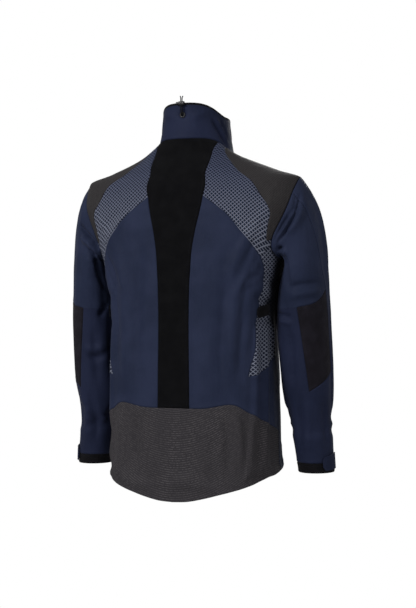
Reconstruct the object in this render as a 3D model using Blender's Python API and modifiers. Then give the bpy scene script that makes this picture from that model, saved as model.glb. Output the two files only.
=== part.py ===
"""Foul weather jacket, men's size M, as worn: shell panels, collar, zips, cuffs and adjusters.

Metres, +Z up, the front faces -Y and the wearer's left is +X. The origin is on the collar seam at
the centre of the back. Every panel is a patch of one of three surfaces, the torso, the collar and
the sleeve, cut along seams that both neighbours share, so a changed size moves them together.
"""

from math import atan, ceil, cos, hypot, pi, radians, sin

import bmesh
import bpy
import numpy as np
from mathutils import Matrix, Vector
from mathutils.geometry import delaunay_2d_cdt

# ---------------------------------------------------------------- driving dimensions
CLOTH = 0.0013  # laminated shell cloth, with the bulk of its seam allowances
SEAM_GAP = 0.0010  # cut line between two neighbouring panels
ARMHOLE_GAP = 0.0024  # the same, where sleeve and torso meet at an angle
LINING = 0.0010
LAYER_GAP = 0.0008  # clearance between cloth layers that lie on each other
FACET = 0.036  # longest facet of a torso panel
TRIM_FACET = 0.009  # the same on tabs and patches

HEM_FRONT = -0.690  # hem level at the front zip
HEM_SIDE = -0.705  # hem level at the side seam
HEM_BACK = -0.762  # lowest point of the drop tail
SIDE_SEAM = 98  # degrees round from the centre back

NECK_LEVEL = -0.060  # above this, the torso turns into the neck
COLLAR_BACK = 0.074  # collar rim above the collar seam
COLLAR_SIDE = 0.050
COLLAR_FRONT = 0.045
COLLAR_HALF_WIDTH = 0.0765
COLLAR_TAPER = 0.11  # how much narrower the rim is than that at its sides
COLLAR_BACK_Y = 0.0700

FRONT_Y = -0.103  # the front is straight, so that the zip slider runs freely
FRONT_SLOPE = 0.075

CUFF_END = -0.706
CUFF_BAND = 0.021
ELBOW_LEVEL = -0.362  # front crease of the elbow
SLEEVE_START = -0.270  # below this level the sleeve is a plain tube
CAP = 0.20  # length of the sleeve's cap, above it
INNER_SEAM = -98  # degrees round the sleeve, from its back
CUFF_TAB_TOP = 0.042  # upper corner of the cuff tab's sewn end, above the cuff's end
CUFF_TAB_LOW = 0.008
WAIST = -0.3610  # level of the middle of the waist tabs' sewn ends

ZIP_TAPE = 0.0110  # width of one tape
ZIP_EDGE = 0.0165  # half the width between the two front panels
TEETH = 0.0030  # width of one row of teeth
TEETH_THICK = 0.0024
ZIP_SPLIT = 0.0010  # half the gap between the two rows of teeth
SLIDER_WIDTH = 0.0104
SLIDER_LENGTH = 0.0140
SLIDER_PLATE = 0.0012
PULL_LENGTH = 0.030
ZIP_REST = 0.010  # the slider's middle below the top of the teeth, when the zip is shut
CHANNEL = TEETH_THICK / 2 + 0.0004  # half the slider's inner height
SLIDER_FACE = CHANNEL + SLIDER_PLATE
BAIL_REACH = 0.0024  # opening under the slider's bridge
BAIL_BAR = 0.0009
BAIL_HALF = 0.0042
PULL_AXIS = SLIDER_FACE + BAIL_REACH / 2  # the pull's hinge in front of the zip's middle plane
GUARD_WIDTH = 0.031
GUARD_THICK = 0.0010
ZIP_END = 0.004  # from the teeth's ends to the collar's rim and to the hem
STOP_SIZE = (0.0110, 0.0046, 0.0100)

POCKET_THETA = 142  # hand pockets, degrees round from the centre back
POCKET_TOP = -0.420
POCKET_LENGTH = 0.160
POCKET_WINDOW = 0.0240
POCKET_PULL = 0.022
POCKET_DEPTH = 0.0065  # the bag's outer face behind the shell's
POCKET_BAG_THICK = 0.0016

HOOK_THICK = 0.0009
HOOK_HEIGHT = LAYER_GAP + HOOK_THICK  # outer face of a hook-and-loop patch above the cloth
TAB_THICK = 0.0014
TAB_HEIGHT = HOOK_HEIGHT + LAYER_GAP + TAB_THICK

CORD = 0.0022  # collar drawcord diameter
CORD_SPREAD = 0.0032  # distance between its two strands
LOCK_LENGTH = 0.0120
LOCK_RADIUS = 0.0045
PLUNGER_TRAVEL = 0.0025
PLUNGER_STEM = 0.0024
PLUNGER_HEAD = 0.0034
EYELET_HOLE = 0.0035
EYELET_RIM = 0.0062
EYELET_LEVEL = 0.050
LOCK_LEVEL = 0.0735
HANGER_REACH = 24  # degrees each side of the centre back

# Stations round the armhole where seams meet it, in degrees round the sleeve
SHOULDER_TIP = -18
SIDE_TOP = -30
SIDE_STATION = -102
FRONT_STATION = -222
CAP_STATION = 54  # the outer seam
UNDER_STATION = -102
STATION_STEP = 12
TURN = 360
HANDS = (("left", 1), ("right", -1))

# Level at the centre back, half width, side level, front level, back y, middle y, squareness
TORSO_LEVELS = np.array(
    [
        (-0.800, 0.184, -0.800, -0.800, 0.1250, -0.015, 0.060),
        (-0.530, 0.182, -0.530, -0.530, 0.1250, -0.013, 0.060),
        (-0.410, 0.178, -0.410, -0.410, 0.1250, -0.011, 0.060),
        (-0.340, 0.183, -0.340, -0.340, 0.1250, -0.008, 0.058),
        (-0.250, 0.202, -0.250, -0.250, 0.1240, -0.004, 0.050),
        (-0.200, 0.228, -0.190, -0.210, 0.1220, -0.002, 0.046),
        (-0.155, 0.246, -0.130, -0.175, 0.1190, 0.000, 0.042),
        (-0.110, 0.240, -0.086, -0.140, 0.1120, 0.000, 0.026),
        (-0.070, 0.190, -0.067, -0.115, 0.1000, 0.000, 0.000),
        (-0.030, 0.124, -0.042, -0.090, 0.0760, -0.006, 0.000),
        (0.000, 0.080, -0.025, -0.075, 0.0685, -0.012, 0.000),
    ]
)

# Armhole seam, degrees round the torso and level, from its top round the back
ARMHOLE = np.array(
    [
        (90, -0.106),
        (74, -0.132),
        (66, -0.158),
        (62, -0.188),
        (60, -0.215),
        (65, -0.238),
        (77, -0.251),
        (90, -0.255),
        (103, -0.251),
        (115, -0.238),
        (121, -0.215),
        (119, -0.185),
        (114, -0.158),
        (106, -0.130),
    ]
)

# Level, centre x and y, outer, inner and front-to-back radius
SLEEVE_LEVELS = np.array(
    [
        (CUFF_END, 0.2570, -0.051, 0.0400, 0.0355, 0.044),
        (-0.655, 0.2515, -0.049, 0.0430, 0.0375, 0.046),
        (-0.600, 0.2475, -0.045, 0.0465, 0.0440, 0.050),
        (-0.515, 0.2450, -0.034, 0.0520, 0.0520, 0.055),
        (-0.415, 0.2410, -0.027, 0.0545, 0.0535, 0.062),
        (-0.340, 0.2375, -0.021, 0.0560, 0.0475, 0.067),
        (-0.270, 0.2340, -0.012, 0.0550, 0.0310, 0.070),
    ]
)

COLOURS = {
    "navy_shell": ((0.021, 0.026, 0.052), 0.62, 0.0),
    "black_stretch": ((0.007, 0.006, 0.008), 0.85, 0.0),
    "printed_shell": ((0.055, 0.062, 0.095), 0.60, 0.0),
    "ripstop_grey": ((0.036, 0.034, 0.037), 0.70, 0.0),
    "ribbed_grey": ((0.034, 0.033, 0.034), 0.80, 0.0),
    "lining_black": ((0.010, 0.010, 0.012), 0.85, 0.0),
    "moulded_black": ((0.010, 0.010, 0.011), 0.45, 0.0),
    "hook_and_loop": ((0.008, 0.008, 0.009), 0.95, 0.0),
    "drawcord": ((0.012, 0.012, 0.014), 0.80, 0.0),
}


# ---------------------------------------------------------------- surfaces
def table(rows, x):
    """The other columns of rows at x, on a smooth curve that never overshoots its points."""
    xs, ys = rows[:, 0], rows[:, 1:]
    step = np.diff(xs)[:, None]
    rise = np.diff(ys, axis=0) / step
    slope = np.vstack([rise[:1], np.zeros_like(rise[1:]), rise[-1:]])
    for i in range(1, len(xs) - 1):
        same = rise[i - 1] * rise[i] > 0
        both = np.where(same, rise[i - 1] + rise[i], 1.0)
        slope[i] = np.where(same, 2 * rise[i - 1] * rise[i] / both, 0.0)
    x = min(max(x, xs[0]), xs[-1])
    i = min(int(np.searchsorted(xs, x, side="right")) - 1, len(xs) - 2)
    t = (x - xs[i]) / step[i]
    ends = ys[i] * (1 + 2 * t) * (1 - t) ** 2 + ys[i + 1] * t * t * (3 - 2 * t)
    return ends + step[i] * (slope[i] * t * (1 - t) ** 2 - slope[i + 1] * t * t * (1 - t))


def front_y(z):
    return FRONT_Y + FRONT_SLOPE * z


def torso(theta, level):
    """theta in degrees round from the centre back, level the height there."""
    half, side_z, front_z, back_y, mid_y, square = table(TORSO_LEVELS, level)
    s, c = sin(radians(theta)), cos(radians(theta))
    x = half * (s + square * sin(radians(3 * theta))) / (1 - square)
    depth = (c - square * cos(radians(3 * theta))) / (1 - square)
    reach = back_y - mid_y if c >= 0 else mid_y - front_y(front_z)
    end_z = level if c >= 0 else front_z
    lie = c * c
    if c >= 0 and level > NECK_LEVEL:  # the neck's seam stays high across the back
        lie += (s * s - s**8) * (1 - level / NECK_LEVEL)
    return Vector((x, mid_y + reach * depth, side_z + (end_z - side_z) * lie))


def collar(theta, height):
    """height 0 at the collar seam and 1 at the rim."""
    low = torso(theta, 0.0)
    s, c = sin(radians(theta)), cos(radians(theta))
    end_z = COLLAR_BACK if c >= 0 else COLLAR_FRONT
    rim_z = COLLAR_SIDE + (end_z - COLLAR_SIDE) * (1 - s**4)
    mid_y = (COLLAR_BACK_Y + front_y(COLLAR_FRONT)) / 2
    half_y = (COLLAR_BACK_Y - front_y(COLLAR_FRONT)) / 2
    half_x = COLLAR_HALF_WIDTH * (1 - COLLAR_TAPER * s * s)
    rim = Vector((half_x * s, mid_y + half_y * c, rim_z))
    return low.lerp(rim, height)


def armhole(phi):
    """The armhole seam in the torso's own numbers, phi 90 at its top and 0 at its back."""
    count = len(ARMHOLE)
    t = (90 - phi) / 360 * count
    i = int(np.floor(t))
    f = t - i
    a, b, c, d = (ARMHOLE[(i + k) % count] for k in (-1, 0, 1, 2))
    cubic = (2 * a - 5 * b + 4 * c - d) * f**2 + (3 * b - a - 3 * c + d) * f**3
    return 0.5 * (2 * b + (c - a) * f + cubic)


def sleeve_ring(phi, z):
    x, y, outer, inner, deep = table(SLEEVE_LEVELS, z)
    s, c = sin(radians(phi)), cos(radians(phi))
    return Vector((x + (outer if s > 0 else inner) * s, y + deep * c, z))


def sleeve(phi, along):
    """along runs from 0 on the armhole to CAP at SLEEVE_START, and then down the sleeve in metres."""
    if along >= CAP:
        return sleeve_ring(phi, SLEEVE_START - (along - CAP))
    top = (1 + sin(radians(phi))) / 2
    start, end = torso(*armhole(phi)), sleeve_ring(phi, SLEEVE_START)
    leave = Vector((0.03 + 0.06 * top, 0, -0.01 - 0.08 * top))
    arrive = Vector((0, 0, -0.03 - 0.22 * top))
    t = along / CAP
    place = start * (1 + 2 * t) * (1 - t) ** 2 + end * t * t * (3 - 2 * t)
    return place + leave * t * (1 - t) ** 2 - arrive * t * t * (1 - t)


def along_sleeve(z):
    """The sleeve's second number for a level below SLEEVE_START."""
    return CAP + SLEEVE_START - z


class Surface:
    """A surface: its place (u, v), the scale of u and v in metres, its facets and its outer side."""

    def __init__(self, place, scale, facet, outward=1):
        self.place, self.scale, self.facet, self.outward = place, scale, facet, outward

    def slopes(self, uv):
        u, v = uv
        du, dv = 1e-3 / self.scale[0], 1e-3 / self.scale[1]
        along_u = (self.place(u + du, v) - self.place(u - du, v)) / (2 * du)
        along_v = (self.place(u, v + dv) - self.place(u, v - dv)) / (2 * dv)
        return along_u, along_v

    def normal(self, uv):
        along_u, along_v = self.slopes(uv)
        return along_v.cross(along_u).normalized() * self.outward

    def raised(self, uv, height):
        return self.place(*uv) + self.normal(uv) * height


TORSO = Surface(torso, (0.19 * pi / 180, 1.0), FACET)
COLLAR = Surface(collar, (0.08 * pi / 180, 0.1), FACET * 2 / 3)
SLEEVE = Surface(sleeve, (0.055 * pi / 180, 1.0), FACET * 3 / 4, outward=-1)


# ---------------------------------------------------------------- seams and panels
def smooth_run(points):
    """More points on a smooth curve through these, in the surface's own numbers."""
    pts = [np.array(p, float) for p in points]
    pts = [2 * pts[0] - pts[1], *pts, 2 * pts[-1] - pts[-2]]
    out = []
    for a, b, c, d in zip(pts, pts[1:], pts[2:], pts[3:]):
        for f in np.arange(0, 1, 0.125):
            cubic = (2 * a - 5 * b + 4 * c - d) * f**2 + (3 * b - a - 3 * c + d) * f**3
            out.append(0.5 * (2 * b + (c - a) * f + cubic))
    return out + [pts[-2]]


def seam(surface, points, facet=None):
    """A seam as facet-long steps between its two ends."""
    fine = smooth_run(points) if len(points) > 2 else [np.array(p, float) for p in points]
    if len(fine) == 2:
        fine = [fine[0] + (fine[1] - fine[0]) * t for t in np.linspace(0, 1, 25)]
    places = [surface.place(*p) for p in fine]
    far = np.concatenate([[0], np.cumsum([(b - a).length for a, b in zip(places, places[1:])])])
    steps = np.linspace(0, far[-1], ceil(far[-1] / (facet or surface.facet)) + 1)
    return [tuple(np.interp(s, far, [p[k] for p in fine]) for k in (0, 1)) for s in steps]


def armhole_run(first, last, step=STATION_STEP):
    """Part of the armhole, in the torso's numbers, at the same stations as the sleeve's edge."""
    way = step if last > first else -step
    return [tuple(armhole(phi)) for phi in range(first, last + (1 if way > 0 else -1), way)]


def loop(*runs):
    """One closed outline from seams that follow each other."""
    out = []
    for run in runs:
        for p in run:
            if not out or hypot(out[-1][0] - p[0], (out[-1][1] - p[1]) * 100) > 1e-6:
                out.append(tuple(p))
    if hypot(out[-1][0] - out[0][0], (out[-1][1] - out[0][1]) * 100) < 1e-6:
        out.pop()
    return out


def inset(surface, outline, distance):
    """The outline moved inwards over the surface by this distance in metres."""
    count = len(outline)
    area = sum(a[0] * b[1] - b[0] * a[1] for a, b in zip(outline, outline[1:] + outline[:1]))
    turn = 1 if area > 0 else -1
    scale = surface.scale
    out = []
    for i, uv in enumerate(outline):
        along_u, along_v = surface.slopes(uv)
        normal = along_u.cross(along_v).normalized() * turn
        before = surface.place(*uv) - surface.place(*outline[i - 1])
        after = surface.place(*outline[(i + 1) % count]) - surface.place(*uv)
        sides = [normal.cross(edge).normalized() for edge in (before, after)]
        middle = sides[0] + sides[1]
        push = middle * (2 * distance / max(middle.length_squared, 0.6))
        basis = np.array([along_u / scale[0], along_v / scale[1]]).T
        move = np.linalg.lstsq(basis, np.array(push), rcond=None)[0]
        out.append((uv[0] + move[0] / scale[0], uv[1] + move[1] / scale[1]))
    return out


def inside(point, outline, margin):
    """Whether a point is in the outline, at least margin from its edges (both in metres)."""
    x, y = point
    odd, near = False, 1e9
    for (ax, ay), (bx, by) in zip(outline, outline[1:] + outline[:1]):
        if (ay > y) != (by > y) and x < ax + (y - ay) * (bx - ax) / (by - ay):
            odd = not odd
        length = max((bx - ax) ** 2 + (by - ay) ** 2, 1e-12)
        t = min(max(((x - ax) * (bx - ax) + (y - ay) * (by - ay)) / length, 0), 1)
        near = min(near, hypot(x - ax - t * (bx - ax), y - ay - t * (by - ay)))
    return odd and near > margin


def panel(name, colour, surface, outline, gap=SEAM_GAP, height=0.0, thick=CLOTH, side=1, facet=None):
    """A piece of cloth: the outline less half a seam gap, filled with facets and given a thickness."""
    facet = facet or surface.facet
    cut = inset(surface, outline, gap / 2)
    flat = [(u * surface.scale[0], v * surface.scale[1]) for u, v in cut]
    low, high = np.min(flat, axis=0), np.max(flat, axis=0)
    counts = [max(1, ceil((high[k] - low[k]) / facet)) for k in (0, 1)]
    grid = [
        (low[0] + (high[0] - low[0]) * i / counts[0], low[1] + (high[1] - low[1]) * j / counts[1])
        for i in range(counts[0] + 1)
        for j in range(counts[1] + 1)
    ]
    points = flat + [p for p in grid if inside(p, flat, facet * 0.35)]
    verts, _, faces, *_ = delaunay_2d_cdt(
        [Vector(p) for p in points], [], [list(range(len(flat)))], 1, 1e-7
    )
    mesh = bpy.data.meshes.new(name)
    places = [
        surface.raised((p[0] / surface.scale[0], p[1] / surface.scale[1]), height) for p in verts
    ]
    mesh.from_pydata([(side * p.x, p.y, p.z) for p in places], [], [tuple(f) for f in faces])
    part = add_object(name, mesh, colour)
    middle = faces[len(faces) // 2]
    out = surface.normal([sum(verts[k][i] for k in middle) / 3 / surface.scale[i] for i in (0, 1)])
    out.x *= side
    bm = bmesh.new()
    bm.from_mesh(mesh)
    bmesh.ops.recalc_face_normals(bm, faces=bm.faces)
    bm.faces.ensure_lookup_table()
    if bm.faces[len(faces) // 2].normal.dot(out) < 0:
        bmesh.ops.reverse_faces(bm, faces=bm.faces)
    bm.to_mesh(mesh)
    bm.free()
    shell = part.modifiers.new("cloth", "SOLIDIFY")
    shell.thickness = thick
    shell.offset = -1
    return part


# ---------------------------------------------------------------- objects
def material(name):
    found = bpy.data.materials.get(name)
    if found:
        return found
    found = bpy.data.materials.new(name)
    found.use_nodes = True
    colour, rough, metal = COLOURS[name]
    shader = found.node_tree.nodes["Principled BSDF"]
    shader.inputs["Base Color"].default_value = (*colour, 1)
    shader.inputs["Roughness"].default_value = rough
    shader.inputs["Metallic"].default_value = metal
    return found


def add_object(name, data, colour, collection="foul_weather_jacket"):
    part = bpy.data.objects.new(name, data)
    folder = bpy.data.collections.get(collection)
    if folder is None:
        folder = bpy.data.collections.new(collection)
        bpy.context.scene.collection.children.link(folder)
    folder.objects.link(part)
    data.materials.append(material(colour))
    return part


def outline_solid(name, colour, outlines, thick, place):
    """A flat outline with any holes, extruded to its thickness, at a matrix."""
    curve = bpy.data.curves.new(name, "CURVE")
    curve.dimensions = "2D"
    curve.fill_mode = "BOTH"
    curve.extrude = thick / 2
    for points in outlines:
        spline = curve.splines.new("POLY")
        spline.points.add(len(points) - 1)
        for at, (x, y) in zip(spline.points, points):
            at.co = (x, y, 0, 1)
        spline.use_cyclic_u = True
    part = add_object(name, curve, colour)
    part.matrix_world = place
    return part


def as_mesh(part):
    """The curve object made a mesh, with its caps welded to its sides."""
    bpy.context.view_layer.update()
    evaluated = part.evaluated_get(bpy.context.evaluated_depsgraph_get())
    mesh = bpy.data.meshes.new_from_object(evaluated)
    bm = bmesh.new()
    bm.from_mesh(mesh)
    bmesh.ops.remove_doubles(bm, verts=bm.verts, dist=1e-6)
    bmesh.ops.recalc_face_normals(bm, faces=bm.faces)
    bm.to_mesh(mesh)
    bm.free()
    name, place, folder = part.name, part.matrix_world.copy(), part.users_collection[0]
    bpy.data.objects.remove(part)
    solid = bpy.data.objects.new(name, mesh)
    solid.matrix_world = place
    folder.objects.link(solid)
    return solid


def block(name, colour, size, place, collection="foul_weather_jacket"):
    """A box of this size, centred at a matrix."""
    mesh = bpy.data.meshes.new(name)
    bm = bmesh.new()
    bmesh.ops.create_cube(bm, size=1, matrix=Matrix.Diagonal((*size, 1)))
    bm.to_mesh(mesh)
    bm.free()
    part = add_object(name, mesh, colour, collection)
    part.matrix_world = place
    return part


def rod(name, colour, radius, length, place, sides=20, collection="foul_weather_jacket"):
    """A cylinder along the matrix's own z axis, centred on it."""
    mesh = bpy.data.meshes.new(name)
    bm = bmesh.new()
    bmesh.ops.create_cone(
        bm, cap_ends=True, segments=sides, radius1=radius, radius2=radius, depth=length
    )
    bm.to_mesh(mesh)
    bm.free()
    part = add_object(name, mesh, colour, collection)
    part.matrix_world = place
    return part


def boolean(part, other, operation, solver="EXACT"):
    """Cuts other from part, or joins it to part, and leaves other as a hidden guide."""
    change = part.modifiers.new(operation.lower(), "BOOLEAN")
    change.operation = operation
    change.solver = solver
    change.object = other
    other.hide_render = True
    other.display_type = "WIRE"


def tube(name, colour, points, diameter):
    curve = bpy.data.curves.new(name, "CURVE")
    curve.dimensions = "3D"
    curve.bevel_depth = diameter / 2
    curve.bevel_resolution = 2
    curve.use_fill_caps = True
    spline = curve.splines.new("POLY")
    spline.points.add(len(points) - 1)
    for at, p in zip(spline.points, points):
        at.co = (*p, 1)
    return add_object(name, curve, colour)


def arc(x, y, radius, start, end, steps=6):
    """Points on a round stretch of an outline, angles in degrees."""
    turns = (radians(start + (end - start) * k / steps) for k in range(steps + 1))
    return [(x + radius * cos(a), y + radius * sin(a)) for a in turns]


# ---------------------------------------------------------------- torso seams, as (degrees, level)
BACK_STRIP = [
    (56, 0.0), (37, -0.020), (26, -0.045), (17.5, -0.080), (13, -0.126),
    (11, -0.165), (9.6, -0.217), (9.1, -0.280), (8.8, -0.342), (9.0, -0.567),
]  # fmt: skip
YOKE_TOP = [
    (72, 0.0), (51, -0.022), (43, -0.050), (40.5, -0.077), (40, -0.104),
    (42.5, -0.131), (46, -0.152), (51, -0.176),
]  # fmt: skip
YOKE_LOW = [
    (13, -0.126), (22.5, -0.162), (31, -0.193), (35.6, -0.207), (44.4, -0.228), (56, -0.252),
]  # fmt: skip
SIDE_BACK = [
    (56, -0.252), (62.5, -0.275), (65, -0.309), (64.5, -0.337), (61.5, -0.375),
    (59, -0.443), (51.5, -0.500),
]  # fmt: skip
SIDE_LOW = [(51.5, -0.500), (63, -0.495), (78, -0.478), (SIDE_SEAM, -0.452)]
TAIL_TOP = [
    (9.0, -0.567), (18.7, -0.566), (36, -0.558), (50.9, -0.575), (70, -0.595), (SIDE_SEAM, -0.620),
]  # fmt: skip
TAIL_HEM = [
    (0, HEM_BACK), (8, HEM_BACK + 0.002), (17, HEM_BACK + 0.009), (28, HEM_BACK + 0.019),
    (42, HEM_BACK + 0.029), (62, HEM_BACK + 0.042), (80, HEM_SIDE - 0.007), (SIDE_SEAM, HEM_SIDE),
]  # fmt: skip
SHOULDER_FRONT = [(95, 0.0), (100, -0.050), (106, -0.100)]


def torso_seams():
    """Every seam of one half of the torso, each sampled once."""

    def cut(points):
        return seam(TORSO, points)

    def edge(phi):
        return tuple(armhole(phi))

    strip = BACK_STRIP
    corner = YOKE_TOP[-1]
    front = [(torso_edge(level), level) for level in np.linspace(0.0, HEM_FRONT, 26)]
    return {
        "neck_back": cut([(0, 0), (28, 0), strip[0]]),
        "neck_yoke": cut([strip[0], (64, 0), YOKE_TOP[0]]),
        "neck_shoulder": cut([YOKE_TOP[0], (84, 0), SHOULDER_FRONT[0]]),
        "neck_front": cut([SHOULDER_FRONT[0], (135, 0), front[0]]),
        "strip_high": cut(strip[:5]),
        "strip_low": cut(strip[4:]),
        "yoke_top": cut(YOKE_TOP),
        "yoke_side": cut([corner, (52.5, -0.200), (56, -0.222), edge(SHOULDER_TIP)]),
        "yoke_low": cut(YOKE_LOW),
        "yoke_end": cut([edge(SIDE_TOP), YOKE_LOW[-1]]),
        "side_back": cut(SIDE_BACK),
        "side_low": cut(SIDE_LOW),
        "side_front": cut([edge(SIDE_STATION), (SIDE_SEAM, -0.320), SIDE_LOW[-1]]),
        "side_seam": cut([SIDE_LOW[-1], TAIL_TOP[-1]]),
        "tail_top": cut(TAIL_TOP),
        "tail_top_middle": cut([(0, TAIL_TOP[0][1]), TAIL_TOP[0]]),
        "tail_side": cut([TAIL_TOP[-1], TAIL_HEM[-1]]),
        "tail_hem": cut(TAIL_HEM),
        "shoulder_front": cut([*SHOULDER_FRONT, edge(FRONT_STATION)]),
        "front_hem": cut([TAIL_HEM[-1], (130, HEM_FRONT - 0.006), front[-1]]),
        "front_edge": cut(front),
    }


def torso_edge(level):
    """Degrees round to the edge of the front zip at a level."""
    low, high = 150.0, 180.0
    for _ in range(30):
        middle = (low + high) / 2
        if torso(middle, level).x > ZIP_EDGE:
            low = middle
        else:
            high = middle
    return low


def back(run):
    return run[::-1]


def other_side(run):
    return [(-u, v) for u, v in run]


def both_sides(half):
    """A full outline from its half, which starts and ends on the centre line."""
    return loop(half, back(other_side(half)))


def make_torso():
    s = torso_seams()
    strip = [*s["neck_back"], *s["strip_high"], *s["strip_low"], *back(s["tail_top_middle"])]
    panel("back_centre_panel", "black_stretch", TORSO, both_sides(strip))
    tail = [*s["tail_top_middle"], *s["tail_top"], *s["tail_side"], *back(s["tail_hem"])]
    panel("tail_panel", "ribbed_grey", TORSO, both_sides(tail))
    outlines = {
        "back_panel": loop(
            s["yoke_low"], s["side_back"], s["side_low"], s["side_seam"],
            back(s["tail_top"]), back(s["strip_low"]),
        ),
        "yoke_panel": loop(
            s["neck_yoke"], s["yoke_top"], s["yoke_side"], armhole_run(SHOULDER_TIP, SIDE_TOP),
            s["yoke_end"], back(s["yoke_low"]), back(s["strip_high"]),
        ),
        "shoulder_panel": loop(
            s["neck_shoulder"], s["shoulder_front"],
            armhole_run(FRONT_STATION + TURN, SHOULDER_TIP), back(s["yoke_side"]), back(s["yoke_top"]),
        ),
        "side_panel": loop(
            armhole_run(SIDE_TOP, SIDE_STATION), s["side_front"], back(s["side_low"]),
            back(s["side_back"]), back(s["yoke_end"]),
        ),
        "front_panel": loop(
            s["neck_front"], s["front_edge"], back(s["front_hem"]), back(s["tail_side"]),
            back(s["side_seam"]), back(s["side_front"]), armhole_run(SIDE_STATION, FRONT_STATION),
            back(s["shoulder_front"]),
        ),
    }  # fmt: skip
    colours = {
        "back_panel": "navy_shell",
        "yoke_panel": "printed_shell",
        "shoulder_panel": "ripstop_grey",
        "side_panel": "printed_shell",
        "front_panel": "navy_shell",
    }
    for hand, side in HANDS:
        for name, outline in outlines.items():
            part = panel(f"{name}_{hand}", colours[name], TORSO, outline, side=side)
            if name == "front_panel":
                window = pocket_block(hand, side)
                boolean(part, window, "DIFFERENCE")


def make_collar():
    s = torso_seams()
    seam_line = [*s["neck_back"], *s["neck_yoke"], *s["neck_shoulder"], *s["neck_front"]]
    low = loop(seam_line)
    rim = [(u, 1.0) for u, _ in low]
    outline = both_sides([*low, *back(rim)])
    outer = panel("collar_outer", "navy_shell", COLLAR, outline)
    hole = rod("eyelet_hole", "moulded_black", EYELET_HOLE, 0.02, eyelet_place(), collection="cutters")
    boolean(outer, hole, "DIFFERENCE")
    inner = inset(COLLAR, outline, 0.0015)
    panel("collar_lining", "lining_black", COLLAR, inner, height=-CLOTH - LAYER_GAP, thick=LINING)


# ---------------------------------------------------------------- sleeves, as (degrees, level)
OUTER_SEAM = [
    (63, -0.175), (68, -0.231), (80, -0.287), (91, -0.3185), (98, -0.400), (104, -0.492),
    (106, -0.600), (107, CUFF_END),
]  # fmt: skip
PATCH_CORNER_HIGH = (5, -0.358)
PATCH_CORNER_LOW = (20, -0.534)
PATCH_OUTER_TOP = 3  # places in OUTER_SEAM where the elbow patch starts and ends
PATCH_OUTER_LOW = 5

def sleeve_start(phi):
    """How far along the cut edge of the sleeve lies, so that it clears the torso's edge."""
    top = (1 + sin(radians(phi))) / 2
    return CAP * ARMHOLE_GAP / hypot(0.03 + 0.06 * top, 0.01 + 0.08 * top)


def outer_seam_at(z):
    rows = np.array(OUTER_SEAM[::-1])[:, ::-1]
    return float(np.interp(z, rows[:, 0], rows[:, 1]))


def sleeve_edge(first, last, step=STATION_STEP):
    """The cut edge at the armhole, at the same stations as the torso's."""
    way = step if last > first else -step
    return [(phi, sleeve_start(phi)) for phi in range(first, last + (1 if way > 0 else -1), way)]


def down(points):
    """Sleeve points given by level, in the sleeve's own numbers."""
    return [(u, along_sleeve(z)) for u, z in points]


def sleeve_seams():

    def cut(points):
        return seam(SLEEVE, points)

    def under_seam(phi):
        """The inner seam above the elbow, seen from the back or, a turn on, from the front."""
        start = (phi + UNDER_STATION - INNER_SEAM, sleeve_start(UNDER_STATION))
        return cut([start, (phi, CAP), *down([(phi, ELBOW_LEVEL)])])

    high, low = PATCH_CORNER_HIGH, PATCH_CORNER_LOW
    top, bottom = OUTER_SEAM[PATCH_OUTER_TOP], OUTER_SEAM[PATCH_OUTER_LOW]
    front_elbow = (outer_seam_at(ELBOW_LEVEL), ELBOW_LEVEL)
    band = CUFF_END + CUFF_BAND
    front_band = (outer_seam_at(band), band)
    under = INNER_SEAM + TURN
    cap_start = (CAP_STATION, sleeve_start(CAP_STATION))
    return {
        "cap": cut([cap_start, (60, 0.4 * CAP), (67, 0.75 * CAP), (78, CAP), *down([top])]),
        "outer_elbow": cut(down([top, front_elbow])),
        "outer_patch": cut(down([front_elbow, OUTER_SEAM[4], bottom])),
        "outer_low": cut(down([bottom, OUTER_SEAM[6], front_band])),
        "under_high": under_seam(INNER_SEAM),
        "under_low": cut(down([(INNER_SEAM, ELBOW_LEVEL), (INNER_SEAM, band)])),
        "patch_top": cut(down([top, (50, -0.347), high])),
        "patch_inner": cut(down([high, low])),
        "patch_low": cut(down([low, bottom])),
        "back_elbow": cut(down([high, (INNER_SEAM, ELBOW_LEVEL)])),
        "front_elbow": cut(down([front_elbow, (under, ELBOW_LEVEL)])),
        "back_band": cut(down([(INNER_SEAM, band), front_band])),
        "front_band": cut(down([front_band, (under, band)])),
        "under_high_front": under_seam(under),
        "under_low_front": cut(down([(under, ELBOW_LEVEL), (under, band)])),
    }


def make_sleeves():
    s = sleeve_seams()
    outlines = {
        "sleeve_back_upper": ("navy_shell", loop(
            sleeve_edge(UNDER_STATION, CAP_STATION), s["cap"], s["patch_top"], s["back_elbow"],
            back(s["under_high"]),
        )),
        "sleeve_front_upper": ("navy_shell", loop(
            sleeve_edge(CAP_STATION, UNDER_STATION + TURN), s["under_high_front"],
            back(s["front_elbow"]), back(s["outer_elbow"]), back(s["cap"]),
        )),
        "elbow_patch": ("black_stretch", loop(
            s["patch_top"], s["patch_inner"], s["patch_low"], back(s["outer_patch"]),
            back(s["outer_elbow"]),
        )),
        "sleeve_back_lower": ("navy_shell", loop(
            s["back_elbow"], s["under_low"], s["back_band"], back(s["outer_low"]),
            back(s["patch_low"]), back(s["patch_inner"]),
        )),
        "sleeve_front_lower": ("navy_shell", loop(
            s["outer_patch"], s["outer_low"], s["front_band"], back(s["under_low_front"]),
            back(s["front_elbow"]),
        )),
    }  # fmt: skip
    for hand, side in HANDS:
        for name, (colour, outline) in outlines.items():
            panel(f"{name}_{hand}", colour, SLEEVE, outline, side=side)
        make_cuff(hand, side, [*s["back_band"], *s["front_band"]])


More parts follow.
